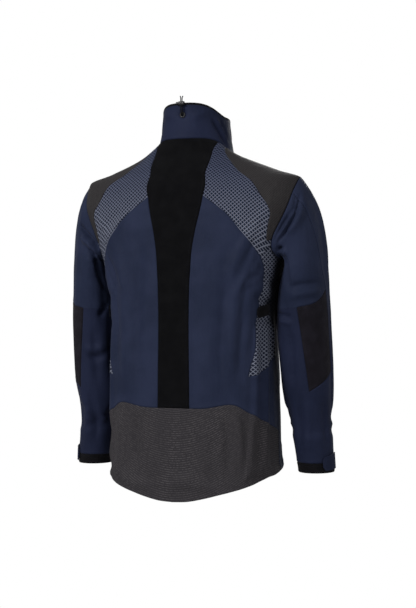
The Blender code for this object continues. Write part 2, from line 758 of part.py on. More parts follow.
def make_cuff(hand, side, top_run):
    """The band is a ring, so it is lofted from rings of points rather than filled from an outline."""
    rows = [
        along_sleeve(CUFF_END + CUFF_BAND) + SEAM_GAP / 2,
        along_sleeve(CUFF_END + CUFF_BAND / 2),
        along_sleeve(CUFF_END),
    ]
    stations = [u for u, _ in loop(top_run)]
    stations = [u for u in stations if u < INNER_SEAM + TURN - 1]
    mesh = bpy.data.meshes.new("cuff_band")
    verts = [SLEEVE.place(u, v) for v in rows for u in stations]
    count = len(stations)
    faces = []
    for j in range(len(rows) - 1):
        for i in range(count):
            here, there = j * count + i, j * count + (i + 1) % count
            faces.append((here, there, there + count, here + count))
    mesh.from_pydata([(side * p.x, p.y, p.z) for p in verts], [], faces)
    if side > 0:
        mesh.flip_normals()
    part = add_object(f"cuff_band_{hand}", mesh, "black_stretch")
    shell = part.modifiers.new("cloth", "SOLIDIFY")
    shell.thickness = CLOTH
    shell.offset = -1
    tab_outline = rounded_strip(SLEEVE, CUFF_TAB_SEWN, CUFF_TAB_FREE)
    strap("cuff_tab", "navy_shell", SLEEVE, tab_outline, hand, side)
    patch = rounded_strip(SLEEVE, CUFF_HOOK_SEWN, CUFF_HOOK_FREE)
    hook = inset(SLEEVE, patch, 0.0015)
    panel(f"cuff_hook_patch_{hand}", "hook_and_loop", SLEEVE, hook, height=HOOK_HEIGHT,
          thick=HOOK_THICK, side=side, gap=0, facet=TRIM_FACET)


# ---------------------------------------------------------------- adjuster tabs
# Each end of a tab: (degrees, level of its upper corner, level of its lower corner)
WAIST_TAB_SEWN = (76, WAIST + 0.0115, WAIST - 0.0115)
WAIST_TAB_FREE = (60, WAIST + 0.0065, WAIST - 0.0180)
WAIST_HOOK_SEWN = (74, WAIST + 0.009, WAIST - 0.010)
WAIST_HOOK_FREE = (64, WAIST + 0.007, WAIST - 0.014)
CUFF_TOP, CUFF_LOW = along_sleeve(CUFF_END + CUFF_TAB_TOP), along_sleeve(CUFF_END + CUFF_TAB_LOW)
CUFF_TAB_SEWN = (98, CUFF_TOP, CUFF_LOW)
CUFF_TAB_FREE = (42, CUFF_TOP + 0.008, CUFF_LOW + 0.003)
CUFF_HOOK_SEWN = (92, CUFF_TOP + 0.005, CUFF_LOW - 0.015)
CUFF_HOOK_FREE = (52, CUFF_TOP + 0.010, CUFF_LOW - 0.015)


def rounded_strip(surface, sewn, free):
    """A tab's outline from its sewn end to its free end, whose corners are cut off."""
    blunt = 0.25 * (free[2] - free[1])
    back_off = 0.12 * (sewn[0] - free[0])
    corners = [
        (sewn[0], sewn[1]),
        (free[0] + back_off, free[1]),
        (free[0], free[1] + blunt),
        (free[0], free[2] - blunt),
        (free[0] + back_off, free[2]),
        (sewn[0], sewn[2]),
    ]
    runs = [seam(surface, [a, b], TRIM_FACET) for a, b in zip(corners, corners[1:] + corners[:1])]
    return loop(*runs)


def strap(name, colour, surface, outline, hand, side):
    return panel(f"{name}_{hand}", colour, surface, outline, height=TAB_HEIGHT,
                 thick=TAB_THICK, side=side, gap=0, facet=TRIM_FACET)


def make_waist_tabs():
    for hand, side in HANDS:
        strap("waist_tab", "black_stretch", TORSO,
              rounded_strip(TORSO, WAIST_TAB_SEWN, WAIST_TAB_FREE), hand, side)
        patch = rounded_strip(TORSO, WAIST_HOOK_SEWN, WAIST_HOOK_FREE)
        panel(f"waist_hook_patch_{hand}", "hook_and_loop", TORSO, patch, height=HOOK_HEIGHT,
              thick=HOOK_THICK, side=side, gap=0, facet=TRIM_FACET)


# ---------------------------------------------------------------- zips
def front_place(z):
    """On the front line, with its own z up the zip and its own -y outwards."""
    return Matrix.Translation((0, front_y(z), z)) @ Matrix.Rotation(-atan(FRONT_SLOPE), 4, "X")


def zip_slider(name, place):
    """A body of two plates and a web between the teeth, with a bridge for its pull."""
    half, web = SLIDER_WIDTH / 2, ZIP_SPLIT / 2
    outline = [
        (-half, -SLIDER_FACE), (half, -SLIDER_FACE), (half, -CHANNEL), (web, -CHANNEL),
        (web, CHANNEL), (half, CHANNEL), (half, SLIDER_FACE), (-half, SLIDER_FACE),
        (-half, CHANNEL), (-web, CHANNEL), (-web, -CHANNEL), (-half, -CHANNEL),
    ]  # fmt: skip
    body = as_mesh(outline_solid(name, "moulded_black", [outline], SLIDER_LENGTH, place))
    low, high = 0.0003, BAIL_REACH
    bridge = [
        (-BAIL_HALF, -low), (-BAIL_HALF, high + BAIL_BAR), (BAIL_HALF, high + BAIL_BAR),
        (BAIL_HALF, -low), (BAIL_HALF - BAIL_BAR, -low), (BAIL_HALF - BAIL_BAR, high),
        (BAIL_BAR - BAIL_HALF, high), (BAIL_BAR - BAIL_HALF, -low),
    ]  # fmt: skip
    standing = Matrix(((0, 0, 1, 0), (0, -1, 0, -SLIDER_FACE), (1, 0, 0, 0), (0, 0, 0, 1)))
    arch = as_mesh(
        outline_solid(name + "_bridge", "moulded_black", [bridge], 0.0016, place @ standing)
    )
    move_to_cutters(arch)
    boolean(body, arch, "UNION", "MANIFOLD")
    return body


def move_to_cutters(part):
    folder = bpy.data.collections.get("cutters")
    for now in part.users_collection:
        now.objects.unlink(part)
    folder.objects.link(part)


def zip_pull(name, place, length):
    """A flat pull whose eye goes round the slider's bridge; it hangs down from its hinge."""
    half, bar, eye, thick = 0.0030, 0.0007, 0.0013, 0.0010
    outer = [
        (-half, bar), (half, bar), (half, -0.010), *arc(0, half - length, half * 0.75, 0, -180),
        (-half, -0.010),
    ]  # fmt: skip
    hole = [(-eye, -bar), (eye, -bar), (eye, -0.0062), (-eye, -0.0062)]
    hanging = Matrix(((1, 0, 0, 0), (0, 0, 1, -PULL_AXIS), (0, 1, 0, 0), (0, 0, 0, 1)))
    return outline_solid(name, "moulded_black", [outer, hole], thick, place @ hanging)


def make_front_zip():
    top, bottom = COLLAR_FRONT - ZIP_END, HEM_FRONT + ZIP_END
    length = (top - bottom) * hypot(1, FRONT_SLOPE)
    middle = front_place((top + bottom) / 2)
    inner = ZIP_SPLIT + TEETH + 0.0004
    for hand, side in HANDS:
        teeth = Matrix.Translation((side * (ZIP_SPLIT + TEETH / 2), 0, 0))
        tape = Matrix.Translation((side * (inner + ZIP_TAPE / 2), 0, 0))
        block(f"zip_teeth_{hand}", "moulded_black", (TEETH, TEETH_THICK, length), middle @ teeth)
        block(f"zip_tape_{hand}", "black_stretch", (ZIP_TAPE, 0.0008, length), middle @ tape)
    behind = Matrix.Translation((0, SLIDER_FACE + GUARD_THICK / 2 + 0.0007, 0))
    block("zip_guard", "lining_black", (GUARD_WIDTH, GUARD_THICK, length), middle @ behind)
    under = front_place(bottom - STOP_SIZE[2] / 2 - 0.0015)
    block("zip_stop", "moulded_black", STOP_SIZE, under)
    zip_slider("zip_slider", front_place(top - ZIP_REST))
    zip_pull("zip_pull", front_place(top - ZIP_REST), PULL_LENGTH)


def pocket_place(side):
    """The middle of a pocket zip: z up its length, -y outwards, in the panel's middle plane."""
    top, low = torso(POCKET_THETA, POCKET_TOP), torso(POCKET_THETA, POCKET_TOP - POCKET_LENGTH)
    up = (top - low).normalized()
    middle = (POCKET_THETA, POCKET_TOP - POCKET_LENGTH / 2)
    out = TORSO.normal(middle)
    out = (out - up * out.dot(up)).normalized()
    across = (-out).cross(up)
    at = TORSO.place(*middle) - out * CLOTH / 2
    place = Matrix([[across[k], -out[k], up[k], at[k]] for k in range(3)] + [[0, 0, 0, 1]])
    if side > 0:
        return place
    flip = Matrix.Diagonal((-1, 1, 1, 1))
    return flip @ place @ flip


def pocket_block(hand, side):
    """A cutter for the opening that a pocket zip fills."""
    size = (POCKET_WINDOW, 0.02, POCKET_LENGTH + 0.006)
    return block(f"pocket_window_{hand}", "lining_black", size, pocket_place(side), "cutters")


def make_pockets():
    tape_end = POCKET_WINDOW / 2 - LAYER_GAP
    tooth, thick, thin = ZIP_SPLIT + 0.0026, TEETH_THICK / 2, 0.0004
    for hand, side in HANDS:
        place = pocket_place(side)
        for edge, way in (("front", -side), ("rear", side)):
            outline = [
                (way * ZIP_SPLIT, -thick), (way * tooth, -thick), (way * tooth, -thin),
                (way * tape_end, -thin), (way * tape_end, thin), (way * tooth, thin),
                (way * tooth, thick), (way * ZIP_SPLIT, thick),
            ]  # fmt: skip
            outline_solid(f"pocket_zip_{edge}_{hand}", "moulded_black", [outline], POCKET_LENGTH, place)
        start = place @ Matrix.Translation((0, 0, POCKET_LENGTH / 2 - ZIP_REST))
        zip_slider(f"pocket_slider_{hand}", start)
        zip_pull(f"pocket_pull_{hand}", start, POCKET_PULL)
        low = POCKET_TOP - POCKET_LENGTH
        corners = [
            (POCKET_THETA - 32, POCKET_TOP + 0.01), (POCKET_THETA + 12, POCKET_TOP + 0.01),
            (POCKET_THETA + 14, low - 0.035), (POCKET_THETA - 30, low - 0.035),
        ]  # fmt: skip
        runs = [seam(TORSO, [a, b]) for a, b in zip(corners, corners[1:] + corners[:1])]
        panel(f"pocket_bag_{hand}", "lining_black", TORSO, loop(*runs), height=-POCKET_DEPTH,
              thick=0.0016, side=side)


# ---------------------------------------------------------------- collar drawcord
def eyelet_place():
    """On the collar at the centre back, with its own z pointing out."""
    height = EYELET_LEVEL / COLLAR_BACK
    at, out = COLLAR.place(0, height), COLLAR.normal((0, height))
    return Matrix.Translation(at) @ out.to_track_quat("Z", "Y").to_matrix().to_4x4()


def make_drawcord():
    ring_place = eyelet_place() @ Matrix.Translation((0, 0, LAYER_GAP / 2 + 0.0006))
    ring = rod("collar_eyelet", "moulded_black", EYELET_RIM, 0.0012, ring_place, sides=28)
    bore = rod("eyelet_bore", "moulded_black", EYELET_HOLE, 0.02, eyelet_place(), 20, "cutters")
    boolean(ring, bore, "DIFFERENCE")
    out_y = COLLAR_BACK_Y + LOCK_RADIUS + 0.0012
    half = CORD_SPREAD / 2
    inner = COLLAR.raised((0, EYELET_LEVEL / COLLAR_BACK), 0.0004).y + CORD / 2
    side = [
        Vector((half, inner, EYELET_LEVEL)),
        Vector((half, inner + 0.0022, EYELET_LEVEL + 0.0010)),
        Vector((half, out_y - 0.0012, EYELET_LEVEL + 0.0055)),
        Vector((half, out_y, EYELET_LEVEL + 0.0110)),
        Vector((half, out_y, LOCK_LEVEL)),
        Vector((half, out_y, LOCK_LEVEL + LOCK_RADIUS + 0.0110)),
    ]
    path = [Vector((-p.x, p.y, p.z)) for p in side[::-1]] + side
    tube("collar_drawcord", "drawcord", path, CORD)
    along_x = Matrix.Rotation(pi / 2, 4, "Y")
    place = Matrix.Translation((0, out_y, LOCK_LEVEL)) @ along_x
    barrel = rod("cord_lock_barrel", "moulded_black", LOCK_RADIUS, LOCK_LENGTH, place, sides=24)
    slot = block(
        "cord_slot", "moulded_black", (CORD_SPREAD + CORD + 0.0012, CORD + 0.0012, 0.03),
        Matrix.Translation((0, out_y, LOCK_LEVEL)), "cutters",
    )  # fmt: skip
    boolean(barrel, slot, "DIFFERENCE")
    stem, head = PLUNGER_STEM, PLUNGER_HEAD
    reach = PLUNGER_TRAVEL - 0.0004
    socket = rod(
        "plunger_socket", "moulded_black", stem + 0.0004, 2 * (PLUNGER_TRAVEL + 0.0003),
        Matrix.Translation((LOCK_LENGTH / 2, out_y, LOCK_LEVEL)) @ along_x, collection="cutters",
    )  # fmt: skip
    boolean(barrel, socket, "DIFFERENCE")
    profile = [
        (0, PLUNGER_TRAVEL + 0.0030), (head, PLUNGER_TRAVEL + 0.0030),
        (head, PLUNGER_TRAVEL + 0.0003), (stem, PLUNGER_TRAVEL + 0.0003),
        (stem, PLUNGER_TRAVEL - reach), (0, PLUNGER_TRAVEL - reach),
    ]  # fmt: skip
    mesh = bpy.data.meshes.new("cord_lock_plunger")
    mesh.from_pydata([(r, 0, h) for r, h in profile], [(k, k + 1) for k in range(len(profile) - 1)], [])
    plunger = add_object("cord_lock_plunger", mesh, "moulded_black")
    turned = plunger.modifiers.new("turned", "SCREW")
    turned.steps = turned.render_steps = 24
    turned.use_merge_vertices = True
    turned.merge_threshold = 1e-5
    plunger.matrix_world = Matrix.Translation((LOCK_LENGTH / 2, out_y, LOCK_LEVEL)) @ along_x


def make_hanger_loop():
    """A strip of tape inside the neck, sewn down at both ends."""
    low, high = 0.10, 0.24
    corners = [(-HANGER_REACH, low), (HANGER_REACH, low), (HANGER_REACH, high), (-HANGER_REACH, high)]
    runs = [seam(COLLAR, [a, b]) for a, b in zip(corners, corners[1:] + corners[:1])]
    depth = CLOTH + LINING + 3 * LAYER_GAP
    panel("hanger_loop", "black_stretch", COLLAR, loop(*runs), height=-depth, thick=0.0010)


def main():
    for ob in list(bpy.data.objects):
        bpy.data.objects.remove(ob)
    cutters = bpy.data.collections.new("cutters")
    bpy.context.scene.collection.children.link(cutters)
    make_torso()
    make_collar()
    make_sleeves()
    make_waist_tabs()
    make_front_zip()
    make_pockets()
    make_drawcord()
    make_hanger_loop()


main()
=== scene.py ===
"""Looks of a foul weather jacket: sewn cloth panels, zips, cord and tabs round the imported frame.

Metres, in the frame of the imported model: +Z up, the zipped front faces -Y, the wearer's left is +X.
Every panel is cut from one of three surfaces, the torso, the collar and the sleeve, along seams that
its neighbours share. Folds, seam valleys and stitches are then laid on the panel.
"""

from math import atan, ceil, cos, hypot, pi, radians, sin

import bmesh
import bpy
import numpy as np
from mathutils import Matrix, Vector, kdtree
from mathutils.geometry import delaunay_2d_cdt


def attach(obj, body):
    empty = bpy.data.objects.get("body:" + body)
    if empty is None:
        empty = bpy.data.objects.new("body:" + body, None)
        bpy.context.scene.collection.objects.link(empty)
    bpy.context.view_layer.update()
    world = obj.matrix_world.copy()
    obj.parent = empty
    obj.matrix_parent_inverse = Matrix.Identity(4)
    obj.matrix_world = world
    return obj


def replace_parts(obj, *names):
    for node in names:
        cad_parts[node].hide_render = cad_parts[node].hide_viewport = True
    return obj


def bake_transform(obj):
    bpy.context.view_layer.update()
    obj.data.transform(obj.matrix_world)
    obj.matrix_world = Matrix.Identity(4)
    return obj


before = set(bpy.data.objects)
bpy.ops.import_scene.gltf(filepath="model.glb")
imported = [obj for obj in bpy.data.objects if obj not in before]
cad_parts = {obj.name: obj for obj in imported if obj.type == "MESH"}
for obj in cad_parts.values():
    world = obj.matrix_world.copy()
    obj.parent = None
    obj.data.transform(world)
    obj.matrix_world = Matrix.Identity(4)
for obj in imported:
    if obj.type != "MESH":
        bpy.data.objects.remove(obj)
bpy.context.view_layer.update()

# ---------------------------------------------------------------- cut of the jacket
CLOTH = 0.0013
ARMHOLE_GAP = 0.0004  # between a sleeve's cut edge and the torso's
GRID = 0.0048  # spacing of a panel's inner points
UPPER_GRID = 0.0040  # the same where the sleeve creases most
SEAM_STEP = 0.0045  # spacing of the points along a seam

HEM_FRONT = -0.690
HEM_SIDE = -0.705
HEM_BACK = -0.762
SIDE_SEAM = 98

NECK_LEVEL = -0.060
COLLAR_BACK = 0.074
COLLAR_SIDE = 0.050
COLLAR_FRONT = 0.045
COLLAR_HALF_WIDTH = 0.0765
COLLAR_TAPER = 0.11
COLLAR_BACK_Y = 0.0700

FRONT_Y = -0.103
FRONT_SLOPE = 0.075

CUFF_END = -0.706
CUFF_BAND = 0.021
ELBOW_LEVEL = -0.362
SLEEVE_START = -0.270
CAP = 0.20  # where the cap ends and the sleeve's tube starts, as a number along the sleeve
CAP_OUT, CAP_OUT_TOP = 0.03, 0.06  # how strongly the cap sets off outwards, and more at its top
CAP_DOWN, CAP_DOWN_TOP = 0.01, 0.08
CAP_ARRIVE, CAP_ARRIVE_TOP = 0.03, 0.22
INNER_SEAM = -98
ZIP_EDGE = 0.0165
POCKET_THETA = 142
POCKET_TOP = -0.420
POCKET_LENGTH = 0.160
POCKET_WINDOW = 0.0240

SHOULDER_TIP = -18
SIDE_TOP = -30
SIDE_STATION = -102
FRONT_STATION = -222
CAP_STATION = 54
UNDER_STATION = -102
STATION_STEP = 3
TURN = 360
HANDS = (("left", 1), ("right", -1))

# Level at the centre back, half width, side level, front level, back y, middle y, squareness
TORSO_LEVELS = np.array(
    [
        (-0.800, 0.184, -0.800, -0.800, 0.1250, -0.015, 0.060),
        (-0.530, 0.182, -0.530, -0.530, 0.1250, -0.013, 0.060),
        (-0.410, 0.178, -0.410, -0.410, 0.1250, -0.011, 0.060),
        (-0.340, 0.183, -0.340, -0.340, 0.1250, -0.008, 0.058),
        (-0.250, 0.202, -0.250, -0.250, 0.1240, -0.004, 0.050),
        (-0.200, 0.228, -0.190, -0.210, 0.1220, -0.002, 0.046),
        (-0.155, 0.246, -0.130, -0.175, 0.1190, 0.000, 0.042),
        (-0.110, 0.240, -0.086, -0.140, 0.1120, 0.000, 0.026),
        (-0.070, 0.190, -0.067, -0.115, 0.1000, 0.000, 0.000),
        (-0.030, 0.124, -0.042, -0.090, 0.0760, -0.006, 0.000),
        (0.000, 0.080, -0.025, -0.075, 0.0685, -0.012, 0.000),
    ]
)

# Armhole seam, degrees round the torso and level, from its top round the back
ARMHOLE = np.array(
    [
        (90, -0.106), (74, -0.132), (66, -0.158), (62, -0.188), (60, -0.215), (65, -0.238),
        (77, -0.251), (90, -0.255), (103, -0.251), (115, -0.238), (121, -0.215), (119, -0.185),
        (114, -0.158), (106, -0.130),
    ]
)  # fmt: skip

# Level, centre x and y, outer, inner and front-to-back radius
SLEEVE_LEVELS = np.array(
    [
        (CUFF_END, 0.2570, -0.051, 0.0400, 0.0355, 0.044),
        (-0.655, 0.2515, -0.049, 0.0430, 0.0375, 0.046),
        (-0.600, 0.2475, -0.045, 0.0465, 0.0440, 0.050),
        (-0.515, 0.2450, -0.034, 0.0520, 0.0520, 0.055),
        (-0.415, 0.2410, -0.027, 0.0545, 0.0535, 0.062),
        (-0.340, 0.2375, -0.021, 0.0560, 0.0475, 0.067),
        (-0.270, 0.2340, -0.012, 0.0550, 0.0310, 0.070),
    ]
)


# ---------------------------------------------------------------- surfaces
def smooth_table(rows):
    """A function of x that gives the rows' other columns, on curves that never overshoot."""
    xs, ys = rows[:, 0], rows[:, 1:]
    step = np.diff(xs)[:, None]
    rise = np.diff(ys, axis=0) / step
    same = rise[:-1] * rise[1:] > 0
    both = np.where(same, rise[:-1] + rise[1:], 1.0)
    middle = np.where(same, 2 * rise[:-1] * rise[1:] / both, 0.0)
    slope = np.vstack([rise[:1], middle, rise[-1:]])

    def at(x):
        x = np.clip(x, xs[0], xs[-1])
        i = np.clip(np.searchsorted(xs, x, side="right") - 1, 0, len(xs) - 2)
        h = step[i]
        t = (x - xs[i])[:, None] / h
        ends = ys[i] * (1 + 2 * t) * (1 - t) ** 2 + ys[i + 1] * t * t * (3 - 2 * t)
        return (ends + h * (slope[i] * t * (1 - t) ** 2 - slope[i + 1] * t * t * (1 - t))).T

    return at


torso_shape = smooth_table(TORSO_LEVELS)
sleeve_shape = smooth_table(SLEEVE_LEVELS)


def front_y(z):
    return FRONT_Y + FRONT_SLOPE * z


def torso(theta, level):
    half, side_z, front_z, back_y, mid_y, square = torso_shape(level)
    a = np.radians(theta)
    s, c = np.sin(a), np.cos(a)
    x = half * (s + square * np.sin(3 * a)) / (1 - square)
    depth = (c - square * np.cos(3 * a)) / (1 - square)
    behind = c >= 0
    reach = np.where(behind, back_y - mid_y, mid_y - front_y(front_z))
    end_z = np.where(behind, level, front_z)
    neck = np.clip(1 - level / NECK_LEVEL, 0, 1) * behind
    lie = c * c + (s * s - s**8) * neck
    return np.column_stack([x, mid_y + reach * depth, side_z + (end_z - side_z) * lie])


def collar(theta, height):
    low = torso(theta, np.zeros_like(theta))
    a = np.radians(theta)
    s, c = np.sin(a), np.cos(a)
    end_z = np.where(c >= 0, COLLAR_BACK, COLLAR_FRONT)
    rim_z = COLLAR_SIDE + (end_z - COLLAR_SIDE) * (1 - s**4)
    mid_y = (COLLAR_BACK_Y + front_y(COLLAR_FRONT)) / 2
    half_y = (COLLAR_BACK_Y - front_y(COLLAR_FRONT)) / 2
    half_x = COLLAR_HALF_WIDTH * (1 - COLLAR_TAPER * s * s)
    rim = np.column_stack([half_x * s, mid_y + half_y * c, rim_z])
    return low + (rim - low) * height[:, None]


def armhole(phi):
    """The armhole seam in the torso's own numbers, phi 90 at its top and 0 at its back."""
    count = len(ARMHOLE)
    t = (90 - np.asarray(phi, float)) / TURN * count
    i = np.floor(t).astype(int)
    f = (t - i)[:, None]
    a, b, c, d = (ARMHOLE[(i + k) % count] for k in (-1, 0, 1, 2))
    cubic = (2 * a - 5 * b + 4 * c - d) * f**2 + (3 * b - a - 3 * c + d) * f**3
    return 0.5 * (2 * b + (c - a) * f + cubic)


def sleeve_ring(phi, z):
    x, y, outer, inner, deep = sleeve_shape(z)
    a = np.radians(phi)
    s, c = np.sin(a), np.cos(a)
    return np.column_stack([x + np.where(s > 0, outer, inner) * s, y + deep * c, z])


def sleeve(phi, along):
    """along runs from 0 on the armhole to CAP at SLEEVE_START, and then down the sleeve in metres."""
    low = sleeve_ring(phi, np.minimum(SLEEVE_START, SLEEVE_START - (along - CAP)))
    top = ((1 + np.sin(np.radians(phi))) / 2)[:, None]
    edge = armhole(phi)
    start = torso(edge[:, 0], edge[:, 1])
    leave = np.hstack([CAP_OUT + CAP_OUT_TOP * top, 0 * top, -CAP_DOWN - CAP_DOWN_TOP * top])
    arrive = np.hstack([0 * top, 0 * top, -CAP_ARRIVE - CAP_ARRIVE_TOP * top])
    t = np.clip(along / CAP, -0.1, 1)[:, None]
    cap = start * (1 + 2 * t) * (1 - t) ** 2 + low * t * t * (3 - 2 * t)
    cap = cap + leave * t * (1 - t) ** 2 - arrive * t * t * (1 - t)
    return np.where(along[:, None] >= CAP, low, cap)


def along_sleeve(z):
    return CAP + SLEEVE_START - z


def unit(v):
    return v / np.maximum(np.linalg.norm(v, axis=1, keepdims=True), 1e-12)


class Surface:
    """A surface: its places, the size of its two numbers in metres, and its outer side."""

    def __init__(self, name, place, scale, outward):
        self.name, self.place, self.scale, self.outward = name, place, np.array(scale), outward

    def at(self, uv):
        return self.place(uv[:, 0], uv[:, 1])

    def slopes(self, uv):
        u, v = uv[:, 0], uv[:, 1]
        du, dv = 1e-3 / self.scale
        along_u = (self.place(u + du, v) - self.place(u - du, v)) / (2 * du)
        along_v = (self.place(u, v + dv) - self.place(u, v - dv)) / (2 * dv)
        return along_u, along_v

    def normals(self, uv):
        along_u, along_v = self.slopes(uv)
        return unit(np.cross(along_v, along_u)) * self.outward


TORSO = Surface("torso", torso, (0.19 * pi / 180, 1.0), 1)
COLLAR = Surface("collar", collar, (0.08 * pi / 180, 0.1), 1)
SLEEVE = Surface("sleeve", sleeve, (0.055 * pi / 180, 1.0), -1)


# ---------------------------------------------------------------- seams
def smooth_run(points, parts=12):
    """More points on a smooth curve through these."""
    pts = np.asarray(points, float)
    pts = np.vstack([2 * pts[0] - pts[1], pts, 2 * pts[-1] - pts[-2]])
    f = (np.arange(parts) / parts)[:, None]
    out = []
    for a, b, c, d in zip(pts, pts[1:], pts[2:], pts[3:]):
        cubic = (2 * a - 5 * b + 4 * c - d) * f**2 + (3 * b - a - 3 * c + d) * f**3
        out.append(0.5 * (2 * b + (c - a) * f + cubic))
    return np.vstack([*out, pts[-2:-1]])


def seam(surface, points, step=SEAM_STEP):
    """A seam as short, equal steps between its two ends."""
    if len(points) > 2:
        fine = smooth_run(points)
    else:
        fine = np.linspace(points[0], points[1], 33)
    places = surface.at(fine)
    far = np.concatenate([[0], np.cumsum(np.linalg.norm(np.diff(places, axis=0), axis=1))])
    steps = np.linspace(0, far[-1], ceil(far[-1] / step) + 1)
    return np.column_stack([np.interp(steps, far, fine[:, k]) for k in (0, 1)])


def stations(first, last):
    way = STATION_STEP if last > first else -STATION_STEP
    return np.arange(first, last + (1 if way > 0 else -1), way, dtype=float)


def armhole_run(first, last):
    return armhole(stations(first, last))


def straight_sides(surface, corners, step=SEAM_STEP):
    """A closed outline with a straight seam from each corner to the next."""
    return loop(*(seam(surface, [a, b], step) for a, b in zip(corners, corners[1:] + corners[:1])))


def loop(*runs):
    """One closed outline from seams that follow each other."""
    out = []
    for p in np.vstack(runs):
        if not out or hypot(out[-1][0] - p[0], (out[-1][1] - p[1]) * 100) > 1e-5:
            out.append(p)
    if hypot(out[-1][0] - out[0][0], (out[-1][1] - out[0][1]) * 100) < 1e-5:
        out.pop()
    return np.array(out)


def inset(surface, outline, distance):
    """The outline moved inwards over the surface by this distance."""
    after = np.roll(outline, -1, axis=0)
    area = np.sum(outline[:, 0] * after[:, 1] - after[:, 0] * outline[:, 1])
    places = surface.at(outline)
    along_u, along_v = surface.slopes(outline)
    normal = unit(np.cross(along_u, along_v)) * np.sign(area)
    edges = np.roll(places, -1, axis=0) - places
    side_after = unit(np.cross(normal, edges))
    side_before = unit(np.cross(normal, np.roll(edges, 1, axis=0)))
    middle = side_after + side_before
    size = np.maximum(np.sum(middle**2, axis=1), 0.6)
    push = middle * (2 * distance / size)[:, None]
    pairs = ((along_u, along_u), (along_u, along_v), (along_v, along_v))
    uu, uv, vv = (np.sum(p * q, axis=1) for p, q in pairs)
    pu, pv = np.sum(along_u * push, axis=1), np.sum(along_v * push, axis=1)
    det = uu * vv - uv * uv
    return outline + np.column_stack([(vv * pu - uv * pv) / det, (uu * pv - uv * pu) / det])


def inside(points, outline):
    x, y = points[:, 0], points[:, 1]
    odd = np.zeros(len(points), bool)
    for (ax, ay), (bx, by) in zip(outline, np.roll(outline, -1, axis=0)):
        if ay != by:
            odd ^= ((ay > y) != (by > y)) & (x < ax + (y - ay) * (bx - ax) / (by - ay))
    return odd


# ---------------------------------------------------------------- folds
FOLD_DEPTH = 2.1  # multiplies every fold's height
BOTH = (1, -1)
LEFT = (1,)
RIGHT = (-1,)


class Fold:
    """A soft ridge (height > 0) or valley along a line on a surface, fading out at its ends."""

    def __init__(self, surface, hands, width, height, *points):
        self.line = surface.at(smooth_run(points, 10))
        self.width, self.height, self.hands = width, height, hands

    def lift(self, places):
        best = np.full(len(places), 1e9)
        share = np.zeros(len(places))
        count = len(self.line)
        for i, p in enumerate(self.line):
            far = np.sum((places - p) ** 2, axis=1)
            nearer = far < best
            best[nearer] = far[nearer]
            share[nearer] = i / (count - 1)
        fade = np.clip(np.minimum(share, 1 - share) * 3.2 + 0.12, 0, 1)
        return FOLD_DEPTH * self.height * fade * np.exp(-best / self.width**2)


# Where the worn cloth creases: the hands, the width, the height and the line of each fold
SLEEVE_FOLDS = [
    # at the right armhole
    (RIGHT, 0.0042, -0.0050, (64, 0.030), (48, 0.043), (24, 0.050), (4, 0.053), (-17, 0.052)),
    (RIGHT, 0.0042, -0.0046, (56, 0.020), (38, 0.033), (21, 0.027), (3, 0.027), (-16, 0.025)),
    (RIGHT, 0.0060, 0.0040, (52, 0.036), (28, 0.038), (6, 0.039), (-12, 0.038)),
    (RIGHT, 0.0100, 0.0034, (58, 0.062), (30, 0.070), (4, 0.070)),
    (RIGHT, 0.0050, -0.0050, (-34, 0.066), (-26, 0.090), (-16, 0.104)),
    (RIGHT, 0.0080, 0.0030, (-30, 0.108), (-20, 0.130), (-8, 0.134)),
    (RIGHT, 0.0080, -0.0034, (-46, 0.120), (-27, 0.214), (-15, 0.251)),
    # at the left armhole
    (LEFT, 0.0046, -0.0056, (34, 0.074), (26, 0.070), (7, 0.053), (-16, 0.030), (-34, 0.018)),
    (LEFT, 0.0070, 0.0040, (20, 0.092), (8, 0.088), (-17, 0.070), (-42, 0.040)),
    (LEFT, 0.0060, -0.0040, (-8, 0.100), (-24, 0.096), (-40, 0.080)),
    (LEFT, 0.0060, -0.0048, (-31, 0.105), (-37, 0.160), (-42, 0.212), (-58, 0.250)),
    (LEFT, 0.0090, 0.0034, (-20, 0.130), (-24, 0.180), (-30, 0.220)),
    (LEFT, 0.0060, -0.0036, (-28, 0.310), (-41, 0.294), (-56, 0.278)),
    # above, on and inside the elbows
    (RIGHT, 0.0070, -0.0024, (-22, 0.253), (12, 0.243), (40, 0.239), (74, 0.236)),
    (RIGHT, 0.0080, 0.0026, (-18, 0.268), (14, 0.260), (42, 0.256), (70, 0.254)),
    (RIGHT, 0.0040, -0.0030, (-58, 0.298), (-33, 0.305), (-11, 0.309)),
    (RIGHT, 0.0050, 0.0026, (-50, 0.312), (-30, 0.318), (-12, 0.322)),
    (LEFT, 0.0070, -0.0030, (2, 0.390), (-22, 0.399), (-44, 0.386)),
    (LEFT, 0.0080, 0.0024, (4, 0.372), (-20, 0.380), (-42, 0.368)),
    (BOTH, 0.0090, -0.0026, (-17, 0.330), (-20, 0.397), (-25, 0.464)),
    (BOTH, 0.0080, -0.0046, (150, 0.270), (190, 0.286), (230, 0.282)),
    (BOTH, 0.0080, 0.0034, (145, 0.292), (188, 0.306), (232, 0.300)),
    (BOTH, 0.0070, -0.0036, (148, 0.318), (186, 0.330), (226, 0.322)),
    # down the forearms and the front of the sleeves
    (BOTH, 0.0080, -0.0024, (-4, 0.470), (-18, 0.534), (-22, 0.590)),
    (BOTH, 0.0090, 0.0020, (12, 0.480), (11, 0.538), (5, 0.600)),
    (BOTH, 0.0090, -0.0018, (60, 0.480), (64, 0.540), (60, 0.590)),
    (BOTH, 0.0100, -0.0026, (160, 0.450), (190, 0.500), (215, 0.560)),
    (BOTH, 0.0100, -0.0030, (118, 0.100), (128, 0.160), (140, 0.230)),
    (BOTH, 0.0090, 0.0030, (132, 0.060), (146, 0.110), (162, 0.170)),
]
